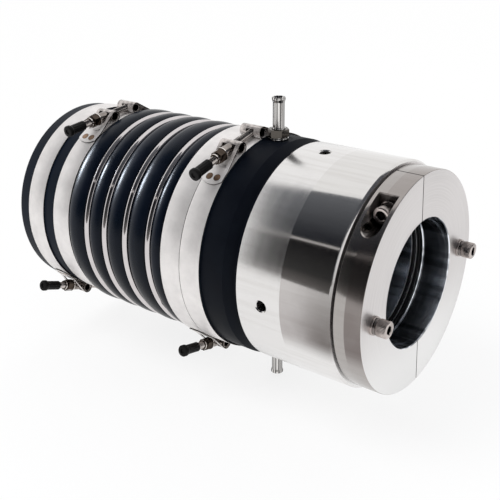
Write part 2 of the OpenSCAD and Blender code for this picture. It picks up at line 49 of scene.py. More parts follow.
view = {
    "azimuth": 37.601,
    "elevation": 23.428,
    "roll": -0.483,
    "place": (0.34668, -0.52233, 0.27198),
    "lens": 59.893,
    "sensorWidth": 36,
    "clipStart": 0.01,
}
floorLook = {
    "height": -0.1262,
    "middle": -0.07,
    "size": 12,
    "color": (0.96, 0.96, 0.96),
    "glowNear": 0.8,  # how far the floor is lifted to white for the eye, near the seal and far off
    "glowFar": 0.99,
    "glowFrom": 0.17,  # the distances from the middle between which that changes
    "glowTo": 0.42,
}
room = {"color": (0.97, 0.98, 1.0), "strength": 0.6}
lamps = {
    "keyLamp": {"place": (-0.5, -0.9, 1.3), "aim": (-0.08, 0, 0), "power": 14.0, "size": 0.9},
    "fillLamp": {"place": (1.3, -0.7, 0.5), "aim": (0, 0, 0), "power": 5.0, "size": 1.0},
    "backLamp": {"place": (-0.3, 1.3, 0.9), "aim": (-0.1, 0, 0), "power": 6.0, "size": 1.1},
    # draws the soft highlight along the folds, and lights nothing else
    "sheenLamp": {"place": (-1.79, -0.28, 0.63), "aim": (-0.13, 0, 0), "power": 40.0, "size": 0.5,
                  "mirrored": True, "color": (0.8, 0.88, 1)},
}
# strips of a wide tube round the shaft's line, seen only in the steel: the dark band along the rotor,
# the light line in it, and what the bore mirrors; the angles run from +Y over the top
cards = {
    "darkCardHigh": {"angles": (91, 142), "radius": 1.6, "stations": (-1.62, 2.5),
                     "shades": ((0.15, 0.157, 0.172), (0.013, 0.015, 0.02))},
    "lineCard": {"angles": (142.1, 143.3), "radius": 1.62, "stations": (-1.62, 2.5),
                 "shades": ((0.85, 0.82, 0.8), (0.85, 0.82, 0.8))},
    "darkCardLow": {"angles": (143.4, 171), "radius": 1.6, "stations": (-1.66, 2.5),
                    "shades": ((0.008, 0.008, 0.009), (0.05, 0.05, 0.05))},
    "greyCardLow": {"angles": (171, 185), "radius": 1.6, "stations": (-1.66, 2.5),
                    "shades": ((0.05, 0.05, 0.05), (0.2, 0.19, 0.185))},
    "darkHoop": {"angles": (5, 175), "radius": 1.5, "stations": (0.85, 2.3),
                 "shades": ((0.09, 0.093, 0.105), (0.09, 0.093, 0.105))},
}


def makeCamera():
    a, e, roll = (math.radians(view[k]) for k in ("azimuth", "elevation", "roll"))
    back = Vector((math.sin(a) * math.cos(e), -math.cos(a) * math.cos(e), math.sin(e)))
    right = Vector((math.cos(a), math.sin(a), 0))
    up = back.cross(right)
    tiltedRight = right * math.cos(roll) + up * math.sin(roll)
    tiltedUp = up * math.cos(roll) - right * math.sin(roll)
    turn = Matrix((tiltedRight, tiltedUp, back)).transposed()
    data = bpy.data.cameras.new("photoCamera")
    data.lens = view["lens"]
    data.sensor_width = view["sensorWidth"]
    data.clip_start = view["clipStart"]
    camera = bpy.data.objects.new("photoCamera", data)
    camera.matrix_world = Matrix.Translation(Vector(view["place"])) @ turn.to_4x4()
    bpy.context.collection.objects.link(camera)
    bpy.context.scene.camera = camera
    bpy.context.scene.view_settings.view_transform = "Standard"


def makeLamp(name, place, aim, power, size, mirrored=False, color=(1, 1, 1)):
    data = bpy.data.lights.new(name, "AREA")
    data.energy = power
    data.size = size
    data.color = color
    lamp = bpy.data.objects.new(name, data)
    lamp.location = place
    lamp.rotation_euler = (Vector(aim) - Vector(place)).to_track_quat("-Z", "Y").to_euler()
    lamp.visible_glossy = mirrored  # the steel mirrors the white room and the cards instead
    bpy.context.collection.objects.link(lamp)
    return lamp


def addNode(tree, kind, **values):
    node = tree.nodes.new(kind)
    row, column = divmod(len(tree.nodes) - 1, 8)  # laid out in rows of eight
    node.location = (240 * column, -300 * row)
    for key, value in values.items():
        setattr(node, key, value)
    return node


def put(tree, value, socket):
    # links an output to the socket, or sets a number or a colour on it
    if isinstance(value, bpy.types.NodeSocket):
        tree.links.new(value, socket)
    elif isinstance(value, tuple):
        socket.default_value = (*value, 1)
    else:
        socket.default_value = value


def calc(tree, operation, first, second=None):
    node = addNode(tree, "ShaderNodeMath", operation=operation)
    put(tree, first, node.inputs[0])
    if second is not None:
        put(tree, second, node.inputs[1])
    return node.outputs[0]


def parted(tree, vector):
    node = addNode(tree, "ShaderNodeSeparateXYZ")
    put(tree, vector, node.inputs[0])
    return node.outputs


def objectCoords(tree):
    return addNode(tree, "ShaderNodeTexCoord").outputs["Object"]


def emptyTree(owner):
    owner.use_nodes = True
    owner.node_tree.nodes.clear()
    return owner.node_tree


def seenDirectly(tree):
    # 1 for what the camera sees, also in a mirror or through glass
    rays = addNode(tree, "ShaderNodeLightPath").outputs
    seen = calc(tree, "MAXIMUM", rays["Is Camera Ray"], rays["Is Glossy Ray"])
    return calc(tree, "MAXIMUM", seen, rays["Is Transmission Ray"])


def mixShaders(tree, factor, first, second, outKind):
    mix = addNode(tree, "ShaderNodeMixShader")
    for value, socket in zip((factor, first, second), mix.inputs):
        tree.links.new(value, socket)
    tree.links.new(mix.outputs[0], addNode(tree, outKind).inputs[0])


def makeWorld():
    world = bpy.data.worlds.new("whiteRoom")
    bpy.context.scene.world = world
    tree = emptyTree(world)
    light = addNode(tree, "ShaderNodeBackground")
    put(tree, room["color"], light.inputs["Color"])
    put(tree, room["strength"], light.inputs["Strength"])
    white = addNode(tree, "ShaderNodeBackground")
    put(tree, (1, 1, 1), white.inputs["Color"])
    mixShaders(tree, seenDirectly(tree), light.outputs[0], white.outputs[0], "ShaderNodeOutputWorld")


def makeFloor():
    f = floorLook
    bpy.ops.mesh.primitive_plane_add(size=f["size"], location=(f["middle"], 0, f["height"]))
    floor = bpy.context.object
    floor.name = "paleFloor"
    material = bpy.data.materials.new("paleFloor")
    tree = emptyTree(material)
    length = addNode(tree, "ShaderNodeVectorMath", operation="LENGTH")
    tree.links.new(objectCoords(tree), length.inputs[0])
    fade = addNode(tree, "ShaderNodeMapRange", interpolation_type="SMOOTHSTEP")
    tree.links.new(length.outputs["Value"], fade.inputs["Value"])
    for socket, key in (("From Min", "glowFrom"), ("From Max", "glowTo"),
                        ("To Min", "glowNear"), ("To Max", "glowFar")):
        fade.inputs[socket].default_value = f[key]
    share = calc(tree, "MULTIPLY", seenDirectly(tree), fade.outputs[0])
    matt = addNode(tree, "ShaderNodeBsdfDiffuse")
    put(tree, f["color"], matt.inputs["Color"])
    glow = addNode(tree, "ShaderNodeEmission")
    put(tree, (1, 1, 1), glow.inputs["Color"])
    mixShaders(tree, share, matt.outputs[0], glow.outputs[0], "ShaderNodeOutputMaterial")
    floor.data.materials.append(material)


def gridFaces(rows, columns, wrapRows=False, wrapColumns=True):
    # four-sided faces between neighbouring rows and columns of points
    faces = []
    for i in range(rows if wrapRows else rows - 1):
        j = (i + 1) % rows
        for k in range(columns if wrapColumns else columns - 1):
            m = (k + 1) % columns
            faces.append((i * columns + k, i * columns + m, j * columns + m, j * columns + k))
    return faces


def makeCard(name, angles, radius, stations, shades, steps=24):
    points = []
    for i in range(steps + 1):
        a = math.radians(angles[0] + (angles[1] - angles[0]) * i / steps)
        for x in stations:
            points.append((x, radius * math.cos(a), radius * math.sin(a)))
    mesh = bpy.data.meshes.new(name)
    mesh.from_pydata(points, [], gridFaces(steps + 1, 2, wrapColumns=False))
    card = bpy.data.objects.new(name, mesh)
    material = bpy.data.materials.new(name)
    tree = emptyTree(material)
    parts = parted(tree, objectCoords(tree))
    across = calc(tree, "MULTIPLY", parts["Y"], -1)
    angle = calc(tree, "ARCTAN2", across, parts["Z"])  # counted from the top, so it never wraps
    fade = addNode(tree, "ShaderNodeMapRange")
    tree.links.new(angle, fade.inputs["Value"])
    for socket, turn in zip(("From Min", "From Max"), angles):
        fade.inputs[socket].default_value = math.radians(turn - 90)
    glow = addNode(tree, "ShaderNodeEmission")
    shade = addRamp(tree, fade.outputs[0], ((0, shades[0]), (1, shades[1])))
    tree.links.new(shade, glow.inputs["Color"])
    tree.links.new(glow.outputs[0], addNode(tree, "ShaderNodeOutputMaterial").inputs[0])
    material.cycles.emission_sampling = "NONE"  # the cards are only mirrored, so they aren't sampled as lamps
    mesh.materials.append(material)
    card.visible_camera = False
    card.visible_diffuse = False
    card.visible_shadow = False
    card.visible_transmission = False
    bpy.context.collection.objects.link(card)


def addRamp(tree, factor, stops):
    # the stops are (position, colour), or (position, number) for a grey
    ramp = addNode(tree, "ShaderNodeValToRGB")
    while len(ramp.color_ramp.elements) < len(stops):
        ramp.color_ramp.elements.new(0.5)
    for element, (position, color) in zip(ramp.color_ramp.elements, stops):
        element.position = position
        element.color = (*color, 1) if isinstance(color, tuple) else (color, color, color, 1)
    tree.links.new(factor, ramp.inputs[0])
    return ramp.outputs[0]


makeCamera()
makeWorld()
makeFloor()
madeLamps = {name: makeLamp(name, **lamp) for name, lamp in lamps.items()}
for name, card in cards.items():
    makeCard(name, **card)

print("finishes")

# the looks: colours are (red, green, blue), a noise is (scale, detail, roughness), a spread is how far the
# roughness goes below and above its middle, and lengths are in metres, as the shaders see them
rubberLooks = {
    "cuffRubber": {"dark": (0.003, 0.006, 0.012), "dusty": (0.006, 0.01, 0.019), "rough": 0.5, "grain": 2600,
                   "specular": 0.12},
    "foldRubber": {"dark": (0.001, 0.003, 0.007), "dusty": (0.003, 0.005, 0.011), "rough": 0.27,
                   "grain": 2600, "specular": 0.15, "grainDepth": 0.000012},
    "ringRubber": {"dark": (0.003, 0.003, 0.004), "dusty": (0.006, 0.006, 0.007), "rough": 0.4, "grain": 2600,
                   "specular": 0.2},
    "carbon": {"dark": (0.002, 0.003, 0.006), "dusty": (0.004, 0.006, 0.01), "rough": 0.55, "grain": 3800,
               "specular": 0.08},
    "capPlastic": {"dark": (0.002, 0.002, 0.002), "dusty": (0.004, 0.004, 0.004), "rough": 0.4, "grain": 1800,
                   "specular": 0.14},
}
bandLook = {
    "color": (0.89, 0.86, 0.845), "patchShade": 0.86, "metal": 0.68, "rough": 0.47, "spread": (0.05, 0.05),
    "loopShadeColor": (0.62, 0.57, 0.545), "stainShade": 0.5, "loopRough": 0.2, "loopStart": 0.0028,
    "loopFull": 0.0058, "lines": (1500, 2.0, 0.6), "patches": (70, 4.0, 0.6), "stains": (240, 3.0, 0.6),
    "grainDepth": 0.000004,
}
bandSeats = {"sternBandSteel": 0.0861, "carbonBandSteel": 0.0909}
turnedLook = {
    "boreRadius": 0.0523, "skinRadius": 0.0862, "skinCut": 0.0006,
    "lowReflectHeights": (0.08, -0.03), "reflectEndHeights": (-0.02, -0.041),  # painted reflection: darker from the first height down, and back to the smooth colour below the second
    "lowReflectReach": 0.042, "cloudShade": 0.88, "pocketShade": 0.3,
    # the bore's streaks are polish marks, their strong dark and light painted reflection
    "boreStreakReflections": ((0.36, (0.14, 0.147, 0.16)), (0.48, (0.36, 0.38, 0.415)), (0.58, (0.92, 0.95, 1.0))),
    "boreRough": 0.2, "landHighlight": (0.85, 0.86, 0.88), "lands": (),
    "satinTones": ((0.3, (0.64, 0.615, 0.61)), (0.7, (0.71, 0.685, 0.68))), "satinRough": 0.34,
    "satinLitLow": (0.86, 0.855, 0.85), "satinHeights": (0.01, -0.07), "endFacing": (0.8, 0.95),
    "zoneHalf": 0.0004, "boreHalf": 0.0002, "landHalf": 0.0001,  # how soft the edges of the zones are
    "lines": (1300, 2.0, 0.6), "streaks": (210, 4.0, 0.6), "wideStreaks": (38, 3.0, 0.5),
    "clouds": (24, 3.0, 0.5), "cloudSteps": (0.45, 1.1),
    "streakTones": ((0.32, (0.94, 0.935, 0.93)), (0.55, (1, 1, 1))),
    "smoothSpread": (0.03, 0.04), "brushedSpread": (0.02, 0.03), "brushing": 0.35, "grainDepth": 0.0000007,
}
turnedLooks = {
    # the low colours are the painted reflection low down, near the station and further along
    "rotorSteel": {"station": 0.0394, "smooth": (0.8, 0.785, 0.775), "brushed": (0.74, 0.725, 0.71),
                   "low": (0.46, 0.43, 0.422), "lowReflectFar": (0.16, 0.142, 0.135), "smoothRough": 0.21,
                   "brushedRough": 0.1, "lands": ((0.0752, 0.0758), (0.0795, 0.0812))},
    "collarSteel": {"station": 0.0916, "smooth": (0.42, 0.395, 0.38), "brushed": (0.37, 0.34, 0.325),
                    "low": (0.2, 0.172, 0.165), "lowReflectFar": (0.2, 0.172, 0.165), "smoothRough": 0.14,
                    "brushedRough": 0.2},
}
# painted reflection: the barb's streaks go from dark to light
barbLook = {"station": -0.026, "dark": (0.05, 0.048, 0.046), "light": (0.86, 0.84, 0.82), "rough": 0.12,
            "spread": (0.03, 0.05), "hexHeights": (0.0923, 0.0988), "hexEdge": 0.0001,
            "hexTone": (0.1, 0.09, 0.08), "streaks": (2.6, 2.0, 0.5), "lines": (1500, 2.0, 0.5),
            "grainDepth": 0.000003}
smallLooks = {
    "ringSteel": {"color": (0.66, 0.625, 0.625), "rough": 0.09, "grain": 600, "stain": 0.94, "grainDepth": 0},
    "boltSteel": {"color": (0.6, 0.55, 0.52), "rough": 0.15, "stain": 0.6},
    "nutSteel": {"color": (0.075, 0.057, 0.045), "rough": 0.16, "stain": 0.4},
    "trunnionSteel": {"color": (0.36, 0.32, 0.295), "rough": 0.13, "stain": 0.5},
    "screwSteel": {"color": (0.56, 0.5, 0.475), "rough": 0.15, "stain": 0.6},
    "washerSteel": {"color": (0.34, 0.31, 0.3), "rough": 0.2, "stain": 0.7},
    "setScrewSteel": {"color": (0.12, 0.12, 0.12), "rough": 0.35},
    # painted shade: near black for the insides of the pins' holes and the screws' sockets
    "recessShade": {"color": (0.015, 0.014, 0.013), "rough": 0.4},
    # painted shade: the strip's cut edges darker
    "cutEdgeShade": {"color": (0.05, 0.045, 0.04), "rough": 0.35, "grain": 1200, "stain": 0.6},
    # painted highlight: bright bands on the nuts
    "highlightRing": {"color": (0.85, 0.8, 0.76), "rough": 0.12},
    "weldStain": {"color": (0.4, 0.26, 0.17), "rough": 0.35, "grain": 1400, "stain": 0.45},
    "weldHalo": {"color": (0.2, 0.13, 0.09), "rough": 0.4, "grain": 1400, "stain": 0.6},
}


def newFinish(name, metal=0.0):
    material = bpy.data.materials.new(name)
    tree = emptyTree(material)
    shader = addNode(tree, "ShaderNodeBsdfPrincipled")
    shader.inputs["Metallic"].default_value = metal
    tree.links.new(shader.outputs[0], addNode(tree, "ShaderNodeOutputMaterial").inputs[0])
    return material, tree, shader


def shaftCoords(tree, along, around, outward):
    # (station, arc length, radius) about the shaft, in metres, each with its own stretch
    arcRadius = 0.09
    x, y, z = parted(tree, objectCoords(tree))
    angle = calc(tree, "ARCTAN2", z, y)
    squares = [calc(tree, "MULTIPLY", part, part) for part in (y, z)]
    radius = calc(tree, "SQRT", calc(tree, "ADD", *squares))
    join = addNode(tree, "ShaderNodeCombineXYZ")
    for k, (source, factor) in enumerate(((x, along), (angle, arcRadius * around), (radius, outward))):
        tree.links.new(calc(tree, "MULTIPLY", source, factor), join.inputs[k])
    return join.outputs[0], x


def addNoise(tree, coords, scale, detail, rough):
    noise = addNode(tree, "ShaderNodeTexNoise")
    noise.inputs["Scale"].default_value = scale
    noise.inputs["Detail"].default_value = detail
    noise.inputs["Roughness"].default_value = rough
    tree.links.new(coords, noise.inputs["Vector"])
    return noise.outputs["Fac"]


def applyLook(tree, shader, color, rough, height, depth, strength=1.0):
    tree.links.new(color, shader.inputs["Base Color"])
    tree.links.new(rough, shader.inputs["Roughness"])
    if depth:
        bump = addNode(tree, "ShaderNodeBump")
        bump.inputs["Distance"].default_value = depth
        bump.inputs["Strength"].default_value = strength
        tree.links.new(height, bump.inputs["Height"])
        tree.links.new(bump.outputs[0], shader.inputs["Normal"])


def blend(tree, factor, first, second, kind="MIX"):
    # two colours mixed by a factor; a plain number stands for a grey
    mix = addNode(tree, "ShaderNodeMix", data_type="RGBA", blend_type=kind)
    put(tree, factor, mix.inputs["Factor"])
    for socket, value in ((mix.inputs[6], first), (mix.inputs[7], second)):
        put(tree, value if not isinstance(value, float) else (value, value, value), socket)
    return mix.outputs[2]


def stepUp(tree, value, start, end):
    step = addNode(tree, "ShaderNodeMapRange", interpolation_type="SMOOTHSTEP")
    step.inputs["From Min"].default_value = start
    step.inputs["From Max"].default_value = end
    tree.links.new(value, step.inputs["Value"])
    return step.outputs[0]


def shaded(color, factor):
    return tuple(c * factor for c in color)


def roughRamp(tree, noise, rough, spread):
    return addRamp(tree, noise, ((0.3, rough - spread[0]), (0.7, rough + spread[1])))


def turnedSteel(name, look):
    # a smooth and a brushed finish that meet at a station, the brushed one darker low down as painted
    # reflection, with a streaky polished bore whose strong streaks are painted reflection, painted highlights
    # on its lands, painted shade in pockets and holes, and satin end faces painted lighter towards the bottom
    material, tree, shader = newFinish(name, 1.0)
    shader.inputs["Anisotropic"].default_value = look["brushing"]
    shader.inputs["Anisotropic Rotation"].default_value = 0.25  # a quarter turn, round the shaft
    tangent = addNode(tree, "ShaderNodeTangent", direction_type="RADIAL", axis="X")
    tree.links.new(tangent.outputs[0], shader.inputs["Tangent"])

    lineCoords, shaftStation = shaftCoords(tree, 1.0, 0.01, 1.0)
    streakCoords = shaftCoords(tree, 0.05, 1.0, 0.3)[0]
    fromShaft = parted(tree, lineCoords)["Z"]
    height = parted(tree, objectCoords(tree))["Z"]
    geometry = addNode(tree, "ShaderNodeNewGeometry")
    facing = parted(tree, geometry.outputs["Normal"])["X"]
    lines = addNoise(tree, lineCoords, *look["lines"])
    streaks = addNoise(tree, streakCoords, *look["streaks"])
    wideStreaks = addNoise(tree, streakCoords, *look["wideStreaks"])
    clouds = addNoise(tree, objectCoords(tree), *look["clouds"])

    # where each finish lies
    station, boreRadius, skinRadius = look["station"], look["boreRadius"], look["skinRadius"]
    endFace = stepUp(tree, calc(tree, "ABSOLUTE", facing), *look["endFacing"])
    zone = stepUp(tree, shaftStation, station - look["zoneHalf"], station + look["zoneHalf"])
    bore = stepUp(tree, fromShaft, boreRadius + look["boreHalf"], boreRadius)
    pocket = stepUp(tree, fromShaft, skinRadius, skinRadius - look["skinCut"])

    # painted reflection: the brushed zone darker low down and further from the station, back to its own
    # colour at the very bottom
    far = stepUp(tree, shaftStation, station, station + look["lowReflectReach"])
    lowReflectTone = blend(tree, far, look["low"], look["lowReflectFar"])
    lowReflectMask = stepUp(tree, height, *look["lowReflectHeights"])
    lowReflected = blend(tree, lowReflectMask, look["brushed"], lowReflectTone)
    reflectEnds = stepUp(tree, height, *look["reflectEndHeights"])
    lowReflected = blend(tree, reflectEnds, lowReflected, look["smooth"])
    toned = blend(tree, zone, look["smooth"], lowReflected)
    cloudTone = shaded(look["smooth"], look["cloudShade"])
    cloudy = blend(tree, stepUp(tree, clouds, *look["cloudSteps"]), toned, cloudTone)
    streaky = addRamp(tree, streaks, look["streakTones"])
    skin = blend(tree, 1.0, cloudy, streaky, "MULTIPLY")
    # painted shade: pockets and holes below the skin are darker
    walls = blend(tree, pocket, skin, shaded(look["brushed"], look["pocketShade"]))

    # painted reflection: the bore's streaks run from near black to bright
    boreStreakReflection = addRamp(tree, wideStreaks, look["boreStreakReflections"])
    # painted highlights: bright thin bands on the lands between the bore's grooves
    for start, end in look["lands"]:
        middle, half = (start + end) / 2, (end - start) / 2
        apart = calc(tree, "ABSOLUTE", calc(tree, "SUBTRACT", shaftStation, middle))
        onLand = stepUp(tree, apart, half, half - look["landHalf"])
        boreStreakReflection = blend(tree, onLand, boreStreakReflection, look["landHighlight"])
    inner = blend(tree, bore, walls, boreStreakReflection)
    satin = addRamp(tree, lines, look["satinTones"])
    # painted light: the end faces lighter towards the bottom
    lower = stepUp(tree, height, *look["satinHeights"])
    satin = blend(tree, lower, satin, look["satinLitLow"])
    color = blend(tree, endFace, inner, satin)

    smoothRough = roughRamp(tree, lines, look["smoothRough"], look["smoothSpread"])
    brushedRough = roughRamp(tree, lines, look["brushedRough"], look["brushedSpread"])
    outerRough = blend(tree, zone, smoothRough, brushedRough)
    innerRough = blend(tree, bore, outerRough, look["boreRough"])
    rough = blend(tree, endFace, innerRough, look["satinRough"])
    applyLook(tree, shader, color, rough, lines, look["grainDepth"])
    return material


def reflectionStreakSteel(name, look):
    # a small polished part whose own line stands upright at a station: dark and light streaks along it as
    # painted reflection, and a dark hexagon
    material, tree, shader = newFinish(name, 1.0)
    x, y, z = parted(tree, objectCoords(tree))
    angle = calc(tree, "ARCTAN2", y, calc(tree, "SUBTRACT", x, look["station"]))
    join = addNode(tree, "ShaderNodeCombineXYZ")
    tree.links.new(angle, join.inputs[0])
    streaks = addNoise(tree, join.outputs[0], *look["streaks"])
    lines = addNoise(tree, objectCoords(tree), *look["lines"])
    height = calc(tree, "ABSOLUTE", z)
    (hexLow, hexHigh), edge = look["hexHeights"], look["hexEdge"]
    above = stepUp(tree, height, hexLow, hexLow + edge)
    below = stepUp(tree, height, hexHigh + edge, hexHigh)
    onHex = calc(tree, "MULTIPLY", above, below)
    # painted reflection: streaks from dark to light round the part's own line
    streaky = addRamp(tree, streaks, ((0.45, look["dark"]), (0.55, look["light"])))
    color = blend(tree, onHex, streaky, look["hexTone"])
    rough = roughRamp(tree, lines, look["rough"], look["spread"])
    applyLook(tree, shader, color, rough, lines, look["grainDepth"])
    return material


def bandFinish(name, seat):
    # bright rolled strip with lines along it; the bent loops above the seat are smoother, and painted darker
    # as shade, with stains
    look = bandLook
    material, tree, shader = newFinish(name, look["metal"])
    coords = shaftCoords(tree, 1.0, 0.02, 1.0)[0]
    fromShaft = parted(tree, coords)["Z"]
    raised = stepUp(tree, fromShaft, seat + look["loopStart"], seat + look["loopFull"])
    lines = addNoise(tree, coords, *look["lines"])
    patches = addNoise(tree, objectCoords(tree), *look["patches"])
    stains = addNoise(tree, objectCoords(tree), *look["stains"])
    flat, loop = look["color"], look["loopShadeColor"]
    flatTone = addRamp(tree, patches, ((0.3, shaded(flat, look["patchShade"])), (0.7, flat)))
    # painted shade: the loops darker than the flat strip, with random stains over it
    loopShadeTone = addRamp(tree, stains, ((0.36, shaded(loop, look["stainShade"])), (0.56, loop)))
    color = blend(tree, raised, flatTone, loopShadeTone)
    rough = blend(tree, raised, roughRamp(tree, lines, look["rough"], look["spread"]), look["loopRough"])
    applyLook(tree, shader, color, rough, lines, look["grainDepth"])
    return material


def smallSteel(name, color, rough, grain=900, stain=0.9, grainDepth=0.000003):
    # nuts, screws and other small steel: an even grain with faint stains
    material, tree, shader = newFinish(name, 1.0)
    fine = addNoise(tree, objectCoords(tree), grain, detail=3.0, rough=0.6)
    slow = addNoise(tree, objectCoords(tree), scale=120, detail=2.0, rough=0.5)
    tone = addRamp(tree, slow, ((0.35, shaded(color, stain)), (0.62, color)))
    spread = addRamp(tree, fine, ((0.3, rough * 0.85), (0.7, rough * 1.15)))
    applyLook(tree, shader, tone, spread, fine, grainDepth)
    return material


def rubberFinish(name, dark, dusty, rough, grain, specular, grainDepth=0.00004):
    material, tree, shader = newFinish(name)
    fine = addNoise(tree, objectCoords(tree), grain, detail=3.0, rough=0.6)
    patches = addNoise(tree, objectCoords(tree), scale=34, detail=5.0, rough=0.6)
    tone = addRamp(tree, patches, ((0.35, dark), (0.75, dusty)))
    spread = roughRamp(tree, patches, rough, (0.05, 0.08))
    applyLook(tree, shader, tone, spread, fine, grainDepth, strength=0.6)
    shader.inputs["Specular IOR Level"].default_value = specular
    return material


finishes = {"barbSteel": reflectionStreakSteel("barbSteel", barbLook)}
for name, look in rubberLooks.items():
    finishes[name] = rubberFinish(name, **look)
for name, seat in bandSeats.items():
    finishes[name] = bandFinish(name, seat)
for name, look in turnedLooks.items():
    finishes[name] = turnedSteel(name, {**turnedLook, **look})
for name, look in smallLooks.items():
    finishes[name] = smallSteel(name, **look)

print("shape helpers")


def softShade(piece, smoothAngle=32):
    piece.data.polygons.foreach_set("use_smooth", [True] * len(piece.data.polygons))
    piece.data.set_sharp_from_angle(angle=math.radians(smoothAngle))


def meshPiece(name, points, faces, smoothAngle=32):
    mesh = bpy.data.meshes.new(name)
    mesh.from_pydata([Vector(p) * mm for p in points], [], faces)
    shape = bmesh.new()
    shape.from_mesh(mesh)
    bmesh.ops.remove_doubles(shape, verts=shape.verts, dist=1e-6)
    bmesh.ops.recalc_face_normals(shape, faces=shape.faces)
    shape.to_mesh(mesh)
    shape.free()
    piece = bpy.data.objects.new(name, mesh)
    bpy.context.collection.objects.link(piece)
    softShade(piece, smoothAngle)
    return piece


def softened(corners, segments=4):
    # rounds the corners of an outline: each corner is (station, radius) or (station, radius, rounding)
    outline = []
    count = len(corners)
    for k, corner in enumerate(corners):
        here = Vector(corner[:2])
        rounding = corner[2] if len(corner) > 2 else 0
        if not rounding:
            outline.append(tuple(here))
            continue
        toLast = Vector(corners[k - 1][:2]) - here
        toNext = Vector(corners[(k + 1) % count][:2]) - here
        u, v = toLast.normalized(), toNext.normalized()
        half = u.angle(v) / 2
        # a rounding too large for its sides is cut down to nearly half of the shorter one
        reach = min(rounding / math.tan(half), 0.48 * toLast.length, 0.48 * toNext.length)
        centre = here + (u + v).normalized() * (reach * math.tan(half) / math.sin(half))
        start, end = here + u * reach - centre, here + v * reach - centre
        sweep = start.angle_signed(end)
        for s in range(segments + 1):
            outline.append(tuple(centre + Matrix.Rotation(-sweep * s / segments, 2) @ start))
    return outline


def roundSection(station, radius, wire, steps):
    # the outline of a wire ring, cut through
    angles = [2 * math.pi * k / steps for k in range(steps)]
    return [(station + wire * math.sin(t), radius + wire * math.cos(t)) for t in angles]


def fan(reach, steps):
    # angles from -reach to reach
    return [math.radians(-reach + 2 * reach * k / steps) for k in range(steps + 1)]


def turned(name, outline, steps=192, closed=True, smoothAngle=32):
    # an outline of (station, radius) turned about the shaft's line; it may change with the angle
    points = []
    shapeAt = outline if callable(outline) else (lambda angle: outline)
    count = len(shapeAt(0))
    for i in range(steps):
        a = 2 * math.pi * i / steps
        for x, r in shapeAt(a):
            points.append((x, r * math.cos(a), r * math.sin(a)))
    return meshPiece(name, points, gridFaces(steps, count, True, closed), smoothAngle)


def move(piece, matrix):
    # the matrix is in millimetres; the mesh itself moves, so the piece stays at the origin
    scaled = matrix.copy()
    scaled.translation = matrix.translation * mm
    piece.data.transform(scaled)
    piece.data.update()
    return piece


def joined(name, pieces, smoothAngle=None):
    shape = bmesh.new()
    for piece in pieces:
        shape.from_mesh(piece.data)
    mesh = bpy.data.meshes.new(name)
    shape.to_mesh(mesh)
    shape.free()
    for piece in pieces:
        old = piece.data
        bpy.data.objects.remove(piece)
        bpy.data.meshes.remove(old)
    whole = bpy.data.objects.new(name, mesh)
    bpy.context.collection.objects.link(whole)
    if smoothAngle:
        softShade(whole, smoothAngle)
    return whole


def cutAway(piece, cutters, smoothAngle=32):
    for cutter in cutters:
        modifier = piece.modifiers.new("cut", "BOOLEAN")
        modifier.operation = "DIFFERENCE"
        modifier.solver = "EXACT"
        modifier.object = cutter
    bpy.context.view_layer.update()
    result = bpy.data.meshes.new_from_object(piece.evaluated_get(bpy.context.evaluated_depsgraph_get()))
    piece.modifiers.clear()
    piece.data = result
    for cutter in cutters:
        bpy.data.objects.remove(cutter)
    softShade(piece, smoothAngle)


def block(name, low, high):
    points = [(x, y, z) for x in (low[0], high[0]) for y in (low[1], high[1]) for z in (low[2], high[2])]
    faces = [(0, 1, 3, 2), (4, 6, 7, 5), (0, 4, 5, 1), (2, 3, 7, 6), (0, 2, 6, 4), (1, 5, 7, 3)]
    return meshPiece(name, points, faces)


def peg(name, radius, start, end, steps=64):
    # a plain round cutter along the shaft's direction
    return turned(name, [(start, 0), (start, radius), (end, radius), (end, 0)], steps, closed=False)


alongY = Matrix.Rotation(math.radians(90), 4, "Z")
alongZ = Matrix.Rotation(math.radians(-90), 4, "Y")


def shift(x=0, y=0, z=0):
    return Matrix.Translation((x, y, z))


def spin(degrees, axis):
    return Matrix.Rotation(math.radians(degrees), 4, axis)


def paintPart(piece, chosen):
    # the faces that are chosen by centre and normal get the piece's second finish
    for face in piece.data.polygons:
        if chosen(face.center / mm, face.normal):
            face.material_index = 1
    return piece


def dress(piece, finish, body, slot, *nodes, second=None):
    indices = [face.material_index for face in piece.data.polygons]
    piece.data.materials.clear()
    piece.data.materials.append(finishes[finish])
    if second:
        piece.data.materials.append(finishes[second])
        piece.data.polygons.foreach_set("material_index", indices)
    if nodes:
        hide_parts(*nodes)
    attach(piece, body)


def hexRadius(angle, acrossFlats, turn=0.0):
    third = math.radians(60)
    a = (angle - turn + third / 2) % third - third / 2
    return acrossFlats / 2 / math.cos(a)


def threadOutline(start, end, radius, pitch, depth):
    # the ridge of the thread steps along the rod as the angle grows, and fades out at both ends
    perTurn, tipLeft, chamfer = 6, 0.15, 0.5
    stations = int((end - start) / pitch * perTurn)

    def outlineAt(angle):
        rows = [(start, 0)]
        for k in range(stations + 1):
            x = start + (end - start) * k / stations
            phase = (x / pitch - angle / (2 * math.pi)) % 1.0
            low = abs(2 * phase - 1)
            fade = min(1.0, (x - start) / pitch, (end - x) / pitch + tipLeft)
            if fade < 1:
                low = 1 - fade * (1 - low)
            rows.append((x, radius - depth * low))
        return rows + [(end, radius - depth - chamfer), (end, 0)]
    return outlineAt


print("bellows")

